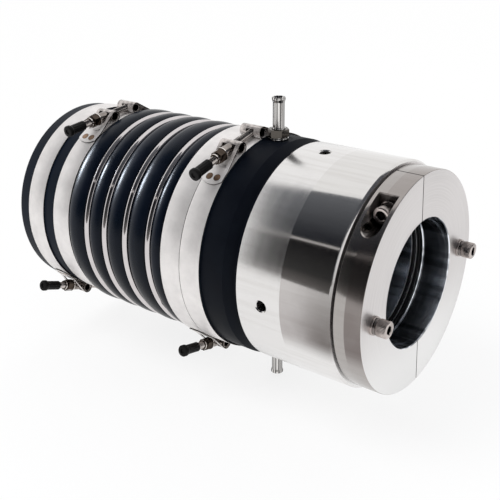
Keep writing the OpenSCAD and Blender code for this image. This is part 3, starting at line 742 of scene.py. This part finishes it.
bellows = {
    "sternEnd": -252.8, "foldStart": -186.4, "foldEnd": -74.6, "carbonEnd": -34.5,
    "sternBore": 76.2, "sternOuter": 86.1, "sternRounds": (1.2, 1.4, 0.6, 0.8),
    "carbonBore": 81.0, "carbonOuter": 90.9, "carbonRounds": (0.8, 0.6, 0.8, 0.6),
    "crest": 90.6, "lip": 84.5, "wall": 5.5, "foldBore": 77.5,
    "bulge": (2.4, 0.62),  # the higher the first and the lower the second, the squarer the folds
    "rings": (-162.5, -141.3, -117.5, -91.8), "wire": 3.0, "ringRadius": 87.0,
    "grooveDepth": 3.25, "grooveHalf": 4.0, "grooveReach": 76, "grooveRoom": 1.03,
    "lipReach": 3.3, "lipSlack": 0.4,  # where a fold's foot starts beside its ring
    "tuck": 4, "tuckRise": 1, "under": 0.2,  # how the folds run on under the cuffs
    "endLap": 0.6, "edge": 0.05, "hollowEdge": 2,
}


def foldOutline():
    b = bellows
    start, end, foot = b["foldStart"], b["foldEnd"], b["lip"] - b["under"]
    cuffBore = b["carbonBore"] + b["under"]
    depth, half = b["grooveDepth"], b["grooveHalf"]
    lipHalf = math.sqrt(b["lipReach"] ** 2 - (b["ringRadius"] - b["lip"]) ** 2) - b["lipSlack"]
    starts = [start - b["endLap"]] + [x + lipHalf for x in b["rings"]]
    ends = [x - lipHalf for x in b["rings"]] + [end + b["endLap"]]

    def clearOfRings(x, y):
        apart = [math.hypot((x - ring) / half, (y - b["ringRadius"]) / depth) for ring in b["rings"]]
        return min(apart) > b["grooveRoom"]

    outer = [(start - b["tuck"], b["foldBore"] + b["tuckRise"]), (start - b["tuck"], foot), (start, foot)]
    inner = []
    for i, (x0, x1) in enumerate(zip(starts, ends)):
        middle, halfFold, rise = (x0 + x1) / 2, (x1 - x0) / 2, b["crest"] - b["lip"]
        for t in fan(90, 32):
            u = math.sin(t)
            x = middle + halfFold * u
            y = b["lip"] + rise * (1 - abs(u) ** b["bulge"][0]) ** b["bulge"][1]
            if clearOfRings(x, y) and start <= x <= end:
                outer.append((x, y))
        if i < len(b["rings"]):
            ring = b["rings"][i]
            for t in fan(b["grooveReach"], 14):
                outer.append((ring + half * math.sin(t), b["ringRadius"] - depth * math.cos(t)))
        foldRound = (halfFold ** 2 + rise ** 2) / (2 * rise)
        bend = min(foldRound - b["wall"], halfFold - b["hollowEdge"])
        hollow = b["crest"] - b["wall"] - bend
        inner.append((middle - bend, b["foldBore"]))
        inner += [(middle + bend * math.sin(t), hollow + bend * math.cos(t)) for t in fan(90, 12)]
        inner.append((middle + bend, b["foldBore"]))
    outer += [(end, foot), (end + b["tuck"], foot), (end + b["tuck"], cuffBore)]
    outer += [(end + b["edge"], cuffBore), (end + b["edge"], b["foldBore"])]
    return outer + inner[::-1]


def makeCuff(name, body, start, end, bore, outer, rounds):
    corners = ((start, bore), (start, outer), (end, outer), (end, bore))
    outline = softened([(*corner, rounding) for corner, rounding in zip(corners, rounds)])
    cuff = turned(name, outline, steps=256)
    dress(cuff, "cuffRubber", body, "bellows_rubber", "bellows")


def makeBellows():
    b = bellows
    makeCuff("bellowsSternCuff", "stern_end", b["sternEnd"], b["foldStart"], b["sternBore"], b["sternOuter"],
             b["sternRounds"])
    folds = turned("bellowsFolds", foldOutline(), steps=256, smoothAngle=50)
    dress(folds, "foldRubber", "stern_end", "bellows_rubber", "bellows")
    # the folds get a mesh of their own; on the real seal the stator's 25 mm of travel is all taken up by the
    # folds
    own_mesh(folds)
    sheenOn = bpy.data.collections.new("sheenOnFolds")
    sheenOn.objects.link(folds)
    madeLamps["sheenLamp"].light_linking.receiver_collection = sheenOn
    makeCuff("bellowsCarbonCuff", "stator", b["foldEnd"], b["carbonEnd"], b["carbonBore"], b["carbonOuter"],
             b["carbonRounds"])
    for n, x in enumerate(b["rings"], 1):
        section = roundSection(x, b["ringRadius"], b["wire"], steps=36)
        ring = turned("supportRing%d" % n, section, steps=360)
        dress(ring, "ringSteel", "fold_ring_%d" % n, "ring_steel", "support_ring_%d" % n)


makeBellows()

print("hose clamps")

clamp = {
    "middles": (-229.9, -196.8, -64.4, -44.3),
    "angles": (-110.5, 95.8, -103.0, 103.6),
    "seats": (86.1, 86.1, 90.9, 90.9),
    "bodies": ("stern_end", "stern_end", "stator", "stator"),
    "play": 0.3, "toNut": 12.4, "toCap": 9.4,
}
strip = {
    "width": 19.8, "thick": 0.9, "loop": 5.0, "loopAngle": 8.2,
    "landing": 22.5, "bend": 2.6, "bendTurn": 1.7, "footEnd": 30.5, "footRound": 12.0,
    "slot": (3.8, 3.6),  # half the width and height of the slot for the bolt
    "mouth": (6.4, 0.9, 7, 1.1),  # half the width, the margin low down, how far out, and the margin high up
    "window": (2.9, 7.6, 33, 6.4),  # the opening behind the loop: from, how far down, to, and how far up
}
# the stains of the spot welds: how far they lie off the strip, and their inner and outer radius
weld = {"angle": 26.5, "side": 3.7, "Burns": (0.04, 0.0, 2.5), "Halos": (0.025, 2.4, 3.0)}
bridge = {"width": 18.4, "thick": 0.52, "sink": 0.03, "reach": 21, "tipRound": 6.0, "edge": 0.15}
pin = {"short": 0.8, "radius": 4.0, "hole": 3.2, "depth": 5.2, "edge": 0.35, "mouth": 3.25}
bolt = {"radius": 3.0, "extra": 0.05, "pitch": 1.0, "threadDepth": 0.5, "root": 2, "tipShort": 2.6}
# the trunnion's sleeve, from inside the pin to the nut
barrel = ((-3.5, 3.15), (12.2, 3.15), (12.2, 4.5, 0.3), (3.3, 4.5, 0.3), (3.3, 3.7), (-3.5, 3.7))
nut = {
    "flats": 10.0, "height": 7.6, "bore": 3.12, "corner": 0.15, "slope": 0.55,
    "flange": ((0, 5.2), (0.25, 5.45), (1.05, 5.45), (1.3, 5.2)),
    "crownRadius": 4.5,
    "crown": ((0.2, 4.35), (1.1, 4.35), (1.3, 4.1), (1.5, 4.35), (2.4, 4.3), (2.6, 4.0)),
    # painted highlights, as bright bands: (from, to, beyond this radius), the last two counted from the
    # hexagon's top
    "highlightFlange": (0.2, 1.1, 5.3), "highlightCrown": ((0.15, 0.6, 4.2), (1.6, 2.5, 4.1)),
}
cap = {
    "length": 18.5, "radius": 4.1, "bore": 3.12,
    "ribs": 12, "ribDepth": 0.3, "ribSharpness": 3, "ribStart": 1.5, "ribEnd": 5.0,
    "rim": ((0, -0.3), (0.3, 0), (1.2, 0)),
    "bead": ((-4.6, 0), (-4.2, 0.1), (-3.3, 0.7), (-3.0, 0.8), (-0.5, 0.8), (-0.15, 0.6), (0, 0.1)),
    "dimple": ((0, 2.2), (-0.8, 2.0), (-0.8, 0), (-2.2, 0)),
}


def around(radius, degrees):
    # a point of the clamp's side view, counted from the top towards the nut's side
    return Vector((radius * math.sin(math.radians(degrees)), radius * math.cos(math.radians(degrees))))


def stripPath(seat):
    # half of the band: round the back, up and over the loop, and down to the welded foot
    s = strip
    inner = seat + clamp["play"]
    middle, upper = inner + s["thick"] / 2, inner + 1.5 * s["thick"]
    loopRound = s["loop"] - s["thick"] / 2
    centre = around(inner + s["loop"], s["loopAngle"])
    out, side = around(1, s["loopAngle"]), around(1, s["loopAngle"] + 90)
    backSteps, loopSteps, bendSteps, footSteps = 120, 32, 6, 26
    path = [around(middle, 180 - (180 - s["loopAngle"]) * k / backSteps) for k in range(backSteps)]
    land = around(upper, s["landing"])
    toLand = land - centre
    tilt = math.acos(loopRound / toLand.length)
    away = max((Matrix.Rotation(t, 2) @ toLand.normalized() for t in (tilt, -tilt)), key=lambda v: v.dot(out))
    last = math.degrees(math.atan2(-away.dot(side), -away.dot(out))) % 360
    for k in range(loopSteps + 1):
        t = math.radians(last * k / loopSteps)
        path.append(centre - loopRound * (math.cos(t) * out + math.sin(t) * side))
    tangent = path[-1]
    slope = (land - tangent).normalized()
    length = (land - tangent).length
    path += [tangent + slope * length * share for share in (0.25, 0.5, 0.72)]
    footStart = s["landing"] + s["bendTurn"]
    bendStart, bendEnd = land - slope * s["bend"], around(upper, footStart)
    for k in range(bendSteps + 1):
        t = k / bendSteps
        path.append(bendStart * (1 - t) ** 2 + land * 2 * t * (1 - t) + bendEnd * t ** 2)
    foot = s["footEnd"] - s["landing"] - s["bendTurn"]
    path += [around(upper, footStart + foot * k / footSteps) for k in range(1, footSteps + 1)]
    return path


def sweptStrip(name, path, width, thick, tipRound, edge=0.28):
    # a strip with rounded edges and tips that follows a path in the clamp's side view
    w, t = width / 2, thick / 2
    leastShare = 0.12  # of the width, left at the very tip
    section = []
    for cx, cz, first in ((w - edge, t - edge, 0), (-w + edge, t - edge, 90),
                          (-w + edge, -t + edge, 180), (w - edge, -t + edge, 270)):
        for k in range(3):
            a = math.radians(first + 45 * k)
            section.append((cx + edge * math.cos(a), cz + edge * math.sin(a)))
    lengths = [0.0]
    for a, b in zip(path, path[1:]):
        lengths.append(lengths[-1] + (b - a).length)
    points = []
    count = len(section)
    for k, here in enumerate(path):
        ahead, behind = path[min(k + 1, len(path) - 1)], path[max(k - 1, 0)]
        direction = (ahead - behind).normalized()
        normal = Vector((-direction.y, direction.x))
        end = min(lengths[k], lengths[-1] - lengths[k])
        share = 1.0
        if end < tipRound:
            share = min(1.0, math.sqrt(max(0.0, tipRound ** 2 - (tipRound - end) ** 2)) / w + leastShare)
        for x, n in section:
            spot = here + normal * n
            points.append((x * share, spot.x, spot.y))
    last = (len(path) - 1) * count
    tips = [tuple(range(count))[::-1], tuple(range(last, last + count))]
    return meshPiece(name, points, gridFaces(len(path), count) + tips, smoothAngle=40)


def weldDisc(name, radius, x, angle, start, end):
    # a round stain laid on the foot's curved outside, or a ring where start isn't 0
    points = []
    rows, steps = 3, 28
    for k in range(rows + 1):
        r = start + (end - start) * k / rows
        for i in range(steps):
            a = 2 * math.pi * i / steps
            spot = around(radius, angle + math.degrees(r * math.sin(a) / radius))
            points.append((x + r * math.cos(a), spot.x, spot.y))
    return meshPiece(name, points, gridFaces(rows + 1, steps))


def makePin():
    # the cross pin that lies in a loop, with a blind hole at each end, its faces painted dark as shade
    half, radius, hole, edge = strip["width"] / 2 - pin["short"], pin["radius"], pin["hole"], pin["edge"]
    floor = half - pin["depth"]
    outline = softened([(-floor, 0), (-floor, hole), (-half, hole, edge), (-half, radius, edge),
                        (half, radius, edge), (half, hole, edge), (floor, hole), (floor, 0)], segments=3)
    piece = turned("pin", outline, steps=48)
    return paintPart(piece, lambda centre, normal: math.hypot(centre.y, centre.z) < pin["mouth"])


def cutRim(centre, normal):
    # the strip's cut edges, painted dark as shade: its sides, and the rounded ends of its feet
    out = Vector((centre.y, centre.z)).normalized()
    onFoot = 0 < out.y < math.cos(math.radians(strip["landing"] + 2))
    return abs(normal.x) > 0.5 or (onFoot and abs(normal.y * out.x + normal.z * out.y) < 0.8)


def nutOutline(angle):
    h, bore = nut["height"], nut["bore"]
    r = hexRadius(angle, nut["flats"])
    rim = nut["flats"] / 2 + nut["corner"]
    fall = max(0.0, (r - rim) * nut["slope"])
    foot = nut["flange"][-1][0]
    hexagon = [(foot, min(r, rim)), (foot + fall, r), (h - fall, r), (h, min(r, rim))]
    crown = [(h + x, radius) for x, radius in nut["crown"]]
    return [(0, bore), *nut["flange"], *hexagon, (h, nut["crownRadius"]), *crown, (crown[-1][0], bore)]


def onHighlightRing(centre, normal):
    r = math.hypot(centre.y, centre.z)
    h = nut["height"]
    start, end, beyond = nut["highlightFlange"]
    return (start < centre.x < end and r > beyond) or any(
        h + start < centre.x < h + end and r > beyond for start, end, beyond in nut["highlightCrown"])


def capOutline(angle):
    r, length, depth = cap["radius"], cap["length"], cap["ribDepth"]
    rib = r - depth * (0.5 + 0.5 * math.cos(cap["ribs"] * angle)) ** cap["ribSharpness"]
    rim = [(x, r + rise) for x, rise in cap["rim"]]
    bead = [(length + x, r + rise) for x, rise in cap["bead"]]
    dimple = [(length + x, radius) for x, radius in cap["dimple"]]
    return [(0, cap["bore"]), *rim, (cap["ribStart"], rib), (length - cap["ribEnd"], rib),
            *bead, *dimple, (dimple[-1][0], cap["bore"])]


def makeClamp(i):
    n = i + 1
    seat, body, angle = clamp["seats"][i], clamp["bodies"][i], clamp["angles"][i]
    steel = "sternBandSteel" if body == "stern_end" else "carbonBandSteel"
    place = shift(x=clamp["middles"][i]) @ spin(angle - 90, "X")
    if angle > 0:
        place = place @ spin(180, "Z")
    skin = seat + clamp["play"]
    boltY, boltZ = around(skin + strip["loop"], strip["loopAngle"])
    nutY = boltY + clamp["toNut"]
    capY = nutY + nut["height"] + clamp["toCap"]
    onBolt = shift(z=boltZ)

    half = stripPath(seat)
    path = [Vector((-p.x, p.y)) for p in half[:0:-1]] + half
    band = sweptStrip("clamp%dBand" % n, path, strip["width"], strip["thick"], strip["footRound"])
    w, h = strip["slot"]
    slots = [block("slot", (-w, -boltY, boltZ - h), (w, boltY, boltZ + h))]
    w, low, out, high = strip["mouth"]
    loop = strip["loop"]
    slots.append(block("slot", (-w, boltY, boltZ - loop + low), (w, boltY + out, boltZ + loop - high)))
    start, low, end, high = strip["window"]
    slots.append(block("slot", (-w, boltY + start, boltZ - low), (w, boltY + end, boltZ + high)))
    cutAway(band, slots, smoothAngle=40)
    paintPart(band, cutRim)
    dress(move(band, place), steel, body, "band_steel", "clamp_%d_band" % n, second="cutEdgeShade")

    outside = skin + 2 * strip["thick"]
    for kind, finish in (("Burns", "weldStain"), ("Halos", "weldHalo")):
        rise, start, end = weld[kind]
        discs = [weldDisc("disc", outside + rise, x, side * weld["angle"], start, end)
                 for side in (-1, 1) for x in (-weld["side"], weld["side"])]
        dress(move(joined("clamp%dWeld%s" % (n, kind), discs), place), finish, body, "band_steel")

    reach = bridge["reach"]
    arc = [around(seat - bridge["sink"], -reach + 2 * reach * k / 40) for k in range(41)]
    plate = sweptStrip("clamp%dBridge" % n, arc, bridge["width"], bridge["thick"], bridge["tipRound"],
                       bridge["edge"])
    # the bridge's sides get the painted shade too
    paintPart(plate, lambda centre, normal: abs(normal.x) > 0.5)
    dress(move(plate, place), steel, body, "band_steel", "clamp_%d_bridge" % n, second="cutEdgeShade")

    thread = threadOutline(-boltY - bolt["root"], capY + cap["length"] - bolt["tipShort"],
                           bolt["radius"] + bolt["extra"], bolt["pitch"], bolt["threadDepth"])
    shank = turned("shank", thread, steps=36, closed=False, smoothAngle=60)
    pieces = [move(makePin(), onBolt @ shift(y=-boltY)), move(shank, onBolt @ alongY)]
    whole = joined("clamp%dTBolt" % n, pieces, smoothAngle=50)
    dress(move(whole, place), "boltSteel", body, "bolt_steel", "clamp_%d_t_bolt" % n, second="recessShade")

    sleeve = turned("barrel", softened(barrel), steps=48)
    atNut = onBolt @ shift(y=boltY)
    pieces = [move(makePin(), atNut), move(sleeve, atNut @ alongY)]
    whole = joined("clamp%dTrunnion" % n, pieces, smoothAngle=32)
    dress(move(whole, place), "trunnionSteel", body, "bolt_steel", "clamp_%d_trunnion" % n,
          second="recessShade")

    whole = paintPart(turned("clamp%dNut" % n, nutOutline, steps=72), onHighlightRing)
    dress(move(whole, place @ onBolt @ shift(y=nutY) @ alongY), "nutSteel", body, "nut_steel",
          "clamp_%d_nut" % n, second="highlightRing")

    whole = turned("clamp%dCap" % n, capOutline, steps=96, closed=False)
    dress(move(whole, place @ onBolt @ shift(y=capY) @ alongY), "capPlastic", body, "cap_plastic",
          "clamp_%d_cap" % n)


for clampNumber in range(4):
    makeClamp(clampNumber)

print("rotor, collar and screws")

rotor = {
    "turn": 4.8, "radius": 90.0, "length": 81.3, "chamfer": 1.6, "bore": 50.85, "mouth": 1.2,
    "hub": 81.0, "hubEnd": 82.5, "grooves": (71.6, 75.2, 75.8, 79.4), "grooveDepth": 3.6,
    "setScrewStation": 22.5, "setScrewHole": 4.25, "setScrewFloor": 40, "countersink": 2.0,
}
collar = {
    "start": 82.8, "end": 104.7, "radius": 87.1, "gap": 0.9,
    "screwOffset": 69.8, "screwHole": 4.5, "pocketFloor": 29.2, "pocket": 15.8, "faceScrewOffset": 68.4,
}
rotorTurn = spin(rotor["turn"], "X")


def makeRotor():
    r = rotor
    radius, length, bore, chamfer = r["radius"], r["length"], r["bore"], r["chamfer"]
    hub, hubEnd = r["hub"], r["hubEnd"]
    innerStart, innerEnd, outerStart, outerEnd = r["grooves"]
    floor = bore + r["grooveDepth"]
    piece = turned("rotorBody", softened([
        (0, bore, 0.3), (0, radius, 0.5), (length - chamfer, radius, 0.15), (length, radius - chamfer, 0.15),
        (length, hub, 0.3), (hubEnd, hub, 0.3),
        (hubEnd, bore + r["mouth"], 0.1), (hubEnd - r["mouth"], bore, 0.1),
        (outerEnd, bore, 0.15), (outerEnd, floor), (outerStart, floor), (outerStart, bore, 0.1),
        (innerEnd, bore, 0.1), (innerEnd, floor), (innerStart, floor), (innerStart, bore, 0.15)], segments=3),
        steps=288)
    narrow, wide = r["setScrewHole"], r["setScrewHole"] + r["countersink"]
    low, outside = r["setScrewFloor"], radius + 6
    outline = [(low, 0), (low, narrow), (radius - 1, narrow), (radius + 1, wide), (outside, wide),
               (outside, 0)]
    spot = shift(x=r["setScrewStation"]) @ alongZ
    holes = []
    for angle in (0, 90):
        hole = turned("hole", outline, steps=64, closed=False)
        holes.append(move(hole, spin(angle, "X") @ spot))
    cutAway(piece, holes)
    dress(move(piece, rotorTurn), "rotorSteel", "rotor", "rotor_steel", "rotor")


def makeCollarHalf(name, node, flip):
    c = collar
    bore, pocket = rotor["bore"], c["pocket"] / 2
    piece = turned(name, softened([
        (c["start"], bore, 0.5), (c["start"], c["radius"], 0.5),
        (c["end"], c["radius"], 0.6), (c["end"], bore, 1.0)], segments=3), steps=288)
    spot = shift(x=(c["start"] + c["end"]) / 2, z=c["screwOffset"])
    far = 100  # well outside the collar
    cutAway(piece, [
        block("saw", (c["start"] - 2, -c["gap"] / 2, -far), (c["end"] + 2, far, far)),
        move(peg("pocket", pocket, -far, -c["pocketFloor"], steps=96), spot @ alongY),
        move(block("pocketMouth", (-pocket, -far, 0), (pocket, -c["pocketFloor"], 40)), spot),
        move(peg("screwHole", c["screwHole"], start=-60, end=5), spot @ alongY),
        move(peg("faceHole", c["screwHole"], start=70, end=120), shift(y=-c["faceScrewOffset"])),
    ])
    dress(move(piece, rotorTurn @ spin(flip, "X")), "collarSteel", "rotor", "collar_steel", node)


# socket head screws: the head's seat is at 0, the socket towards minus
screw = {
    "stack": 4.2,  # plain washer and spring washer under each head
    "clampReach": 22, "faceReach": 35.4, "shank": 4.0, "tip": (1, 3.2),
    "flats": 6.0, "flatsTurn": 11, "socketEdge": -7.45, "socketFloor": -4.4, "floorRise": 0.9,
    "knurls": 44, "knurlRadius": 6.5, "knurlDepth": 0.09, "knurlEnds": (-7.2, -0.5),
    "crown": ((-8.0, 3.95), (-8.0, 5.5), (-7.85, 5.9), (-7.5, 6.25)), "foot": ((-0.25, 6.25), (0, 6.1)),
    "dark": (-7.5, -3, 3.6),  # faces inside the socket, painted dark as shade: from, to and within this radius
}
# outer radius, start and end of each washer, counted from the seat
washer = {"hole": 4.2, "spring": (6.2, -4.15, -1.85), "plain": (7.0, -1.8, 0), "springTurn": 35, "lift": 0.35,
          "gap": 10}


def screwOutline(reach):
    s = screw
    floor, edge, (tipLength, tip) = s["socketFloor"], s["socketEdge"], s["tip"]

    def outlineAt(angle):
        socket = hexRadius(angle, s["flats"], math.radians(s["flatsTurn"]))
        knurl = s["knurlRadius"] - s["knurlDepth"] * (1 + math.cos(s["knurls"] * angle))
        return [(floor + s["floorRise"], 0), (floor, socket), (edge, socket), *s["crown"],
                *((x, knurl) for x in s["knurlEnds"]), *s["foot"],
                (0, s["shank"]), (reach - tipLength, s["shank"]), (reach, tip), (reach, 0)]
    return outlineAt


def plainWasher(inner, outer, start, end):
    corners = [(start, inner, 0.15), (start, outer, 0.3), (end, outer, 0.3), (end, inner, 0.15)]
    return turned("plain", softened(corners, segments=3), steps=72)


def splitWasher(inner, outer, start, end):
    # a sprung ring, cut through and slightly twisted
    points = []
    lift, gap, steps = washer["lift"], washer["gap"], 70
    for k in range(steps + 1):
        a = math.radians(gap / 2 + (360 - gap) * k / steps)
        rise = lift * (k / steps - 0.5)
        for x, r in ((start, inner), (start, outer), (end - lift / 2, outer), (end - lift / 2, inner)):
            points.append((x + (rise if x > start else max(0.0, rise)), r * math.cos(a), r * math.sin(a)))
    ends = [(3, 2, 1, 0), tuple(4 * steps + m for m in range(4))]
    return meshPiece("spring", points, gridFaces(steps + 1, 4) + ends)


def inSocket(centre, normal):
    start, end, within = screw["dark"]
    return start < centre.x < end and math.hypot(centre.y, centre.z) < within


def makeScrews(kind, node, reach, places):
    screws, springs, plains = [], [], []
    for place in places:
        piece = paintPart(turned("screw", screwOutline(reach), steps=264, closed=False), inSocket)
        screws.append(move(piece, place @ shift(x=-screw["stack"])))
        piece = splitWasher(washer["hole"], *washer["spring"])
        springs.append(move(piece, place @ spin(washer["springTurn"], "X")))
        plains.append(move(plainWasher(washer["hole"], *washer["plain"]), place))
    whole = joined(kind + "s", screws, smoothAngle=30)
    dress(whole, "screwSteel", "rotor", "screw_steel", node + "_screws", second="recessShade")
    whole = joined(kind + "SpringWashers", springs, smoothAngle=32)
    dress(whole, "washerSteel", "rotor", "washer_steel", node + "_spring_washers")
    whole = joined(kind + "PlainWashers", plains, smoothAngle=32)
    dress(whole, "screwSteel", "rotor", "washer_steel", node + "_plain_washers")


shaftRings = {"wire": 1.7, "radius": 52.6, "stations": {"Inner": 73.4, "Outer": 77.6}}


def makeShaftRings():
    for where, x in shaftRings["stations"].items():
        section = roundSection(x, shaftRings["radius"], shaftRings["wire"], steps=24)
        ring = turned("shaftRing" + where, section, steps=160)
        dress(ring, "ringRubber", "rotor", "oring_rubber", "shaft_oring_" + where.lower())


makeRotor()
makeCollarHalf("collarHalfNear", "collar_half_near", 0)
makeCollarHalf("collarHalfFar", "collar_half_far", 180)
clampSeat = shift(x=(collar["start"] + collar["end"]) / 2, y=-collar["pocketFloor"], z=collar["screwOffset"])
makeScrews("clampScrew", "clamp", screw["stack"] + collar["pocketFloor"] + screw["clampReach"],
           [rotorTurn @ spin(angle, "X") @ clampSeat @ alongY for angle in (0, 180)])
across = collar["faceScrewOffset"]
makeScrews("faceScrew", "face", screw["stack"] + screw["faceReach"],
           [rotorTurn @ shift(x=collar["end"], y=y) @ spin(180, "Z") for y in (-across, across)])
makeShaftRings()

print("carbon and hose barbs")

carbon = {
    "radius": 90.5, "end": -34.2, "bore": 54.0, "spigot": 80.8, "spigotEnd": -72.9,
    "noseLength": 5.9, "noseRadius": 84.5, "cone": 6.7,
    "face": -0.1, "faceWidth": 16, "step": -2.1, "stepWidth": 18,
    "barbStation": -26.0, "barbSeat": 89.8, "barbHole": 8.1, "spotFace": 11.2, "spotDepth": 0.06,
    "passage": 3.5,
}
barb = {
    "tip": 123.8, "tube": 4.75, "bore": 3.5, "bead": 5.5, "beadStart": 4.0, "beadTop": 1.6,
    "lead": 1.1, "leadDepth": 2.5,
    "flats": 15.0, "hexLift": 2.6, "hexHeight": 6.3, "hexTurn": 7.6, "corner": 0.25, "slope": 0.6,
    "washer": 8.0, "washerHeight": 2.1, "neck": 7.0, "neckEnd": 1, "shoulder": 5.6, "shoulderEnd": 0.9,
    "tubeStart": 1.1, "thread": 6.6, "threadLength": 14, "sink": 0.02, "hexCore": 4,
}


def makeCarbon():
    c = carbon
    cone, nose, face, step = -c["noseLength"] - c["cone"], c["noseRadius"], c["face"], c["step"]
    piece = turned("carbonRing", softened([
        (c["spigotEnd"], c["bore"], 0.8), (c["spigotEnd"], c["spigot"], 1.0), (c["end"], c["spigot"]),
        (c["end"], c["radius"], 0.6), (cone, c["radius"], 0.4), (-c["noseLength"], nose, 0.4),
        (face, nose, 0.4), (face, nose - c["faceWidth"]), (step, nose - c["stepWidth"]),
        (step, c["bore"], 0.6)], segments=3), steps=256)
    cutters = []
    for side in (0, 180):
        spot = spin(side, "X") @ shift(x=c["barbStation"]) @ alongZ
        cutters += [
            move(peg("spotFace", c["spotFace"], c["barbSeat"] + c["spotDepth"], end=100, steps=96), spot),
            move(peg("seat", c["barbHole"], c["barbSeat"], end=100, steps=96), spot),
            move(peg("passage", c["passage"], start=40, end=95), spot),
        ]
    cutAway(piece, cutters)
    dress(piece, "carbon", "stator", "carbon", "carbon_stator")


def makeBarb(name, node, side):
    b, seat, tip, tube, bead = barb, carbon["barbSeat"], barb["tip"], barb["tube"], barb["bead"]
    hexStart = seat + b["hexLift"]
    hexEnd = hexStart + b["hexHeight"]
    turn = math.radians(b["hexTurn"] if side else -b["hexTurn"]) + math.radians(30)

    def hexOutline(angle):
        r = hexRadius(angle, b["flats"], turn)
        rim = b["flats"] / 2 + b["corner"]
        fall = max(0.0, (r - rim) * b["slope"])
        return [(hexStart, b["hexCore"]), (hexStart, min(r, rim)), (hexStart + fall, r),
                (hexEnd - fall, r), (hexEnd, min(r, rim)), (hexEnd, b["hexCore"])]
    washerStart, washerEnd, neckEnd = seat - b["sink"], seat + b["washerHeight"], hexStart + b["neckEnd"]
    body = softened([
        (seat - b["threadLength"], b["bore"]), (seat - b["threadLength"], b["thread"], 0.5),
        (washerStart, b["thread"]), (washerStart, b["washer"], 0.4), (washerEnd, b["washer"], 0.5),
        (washerEnd, b["neck"], 0.1), (neckEnd, b["neck"]), (neckEnd, b["shoulder"]),
        (hexEnd + b["shoulderEnd"], b["shoulder"], 0.5), (hexEnd + b["tubeStart"], tube, 0.4),
        (tip - b["beadStart"], tube, 2.5), (tip - b["beadTop"], bead, 0.7), (tip, bead, 0.35),
        (tip, b["bore"] + b["lead"], 0.3),
        (tip - b["leadDepth"], b["bore"], 1.0)])
    pieces = [turned("hex", hexOutline, steps=144), turned("tube", body, steps=72)]
    whole = joined(name, pieces, smoothAngle=30)
    move(whole, spin(side, "X") @ shift(x=carbon["barbStation"]) @ alongZ)
    dress(whole, "barbSteel", "stator", "barb_steel", node)


makeCarbon()
makeBarb("ventBarb", "vent_barb", 0)
makeBarb("feedBarb", "feed_barb", 180)

print("CAD nodes that stay")

for node in ("set_screws", "lock_screws"):
    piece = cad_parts[node]
    piece.data.materials.clear()
    piece.data.materials.append(finishes["setScrewSteel"])
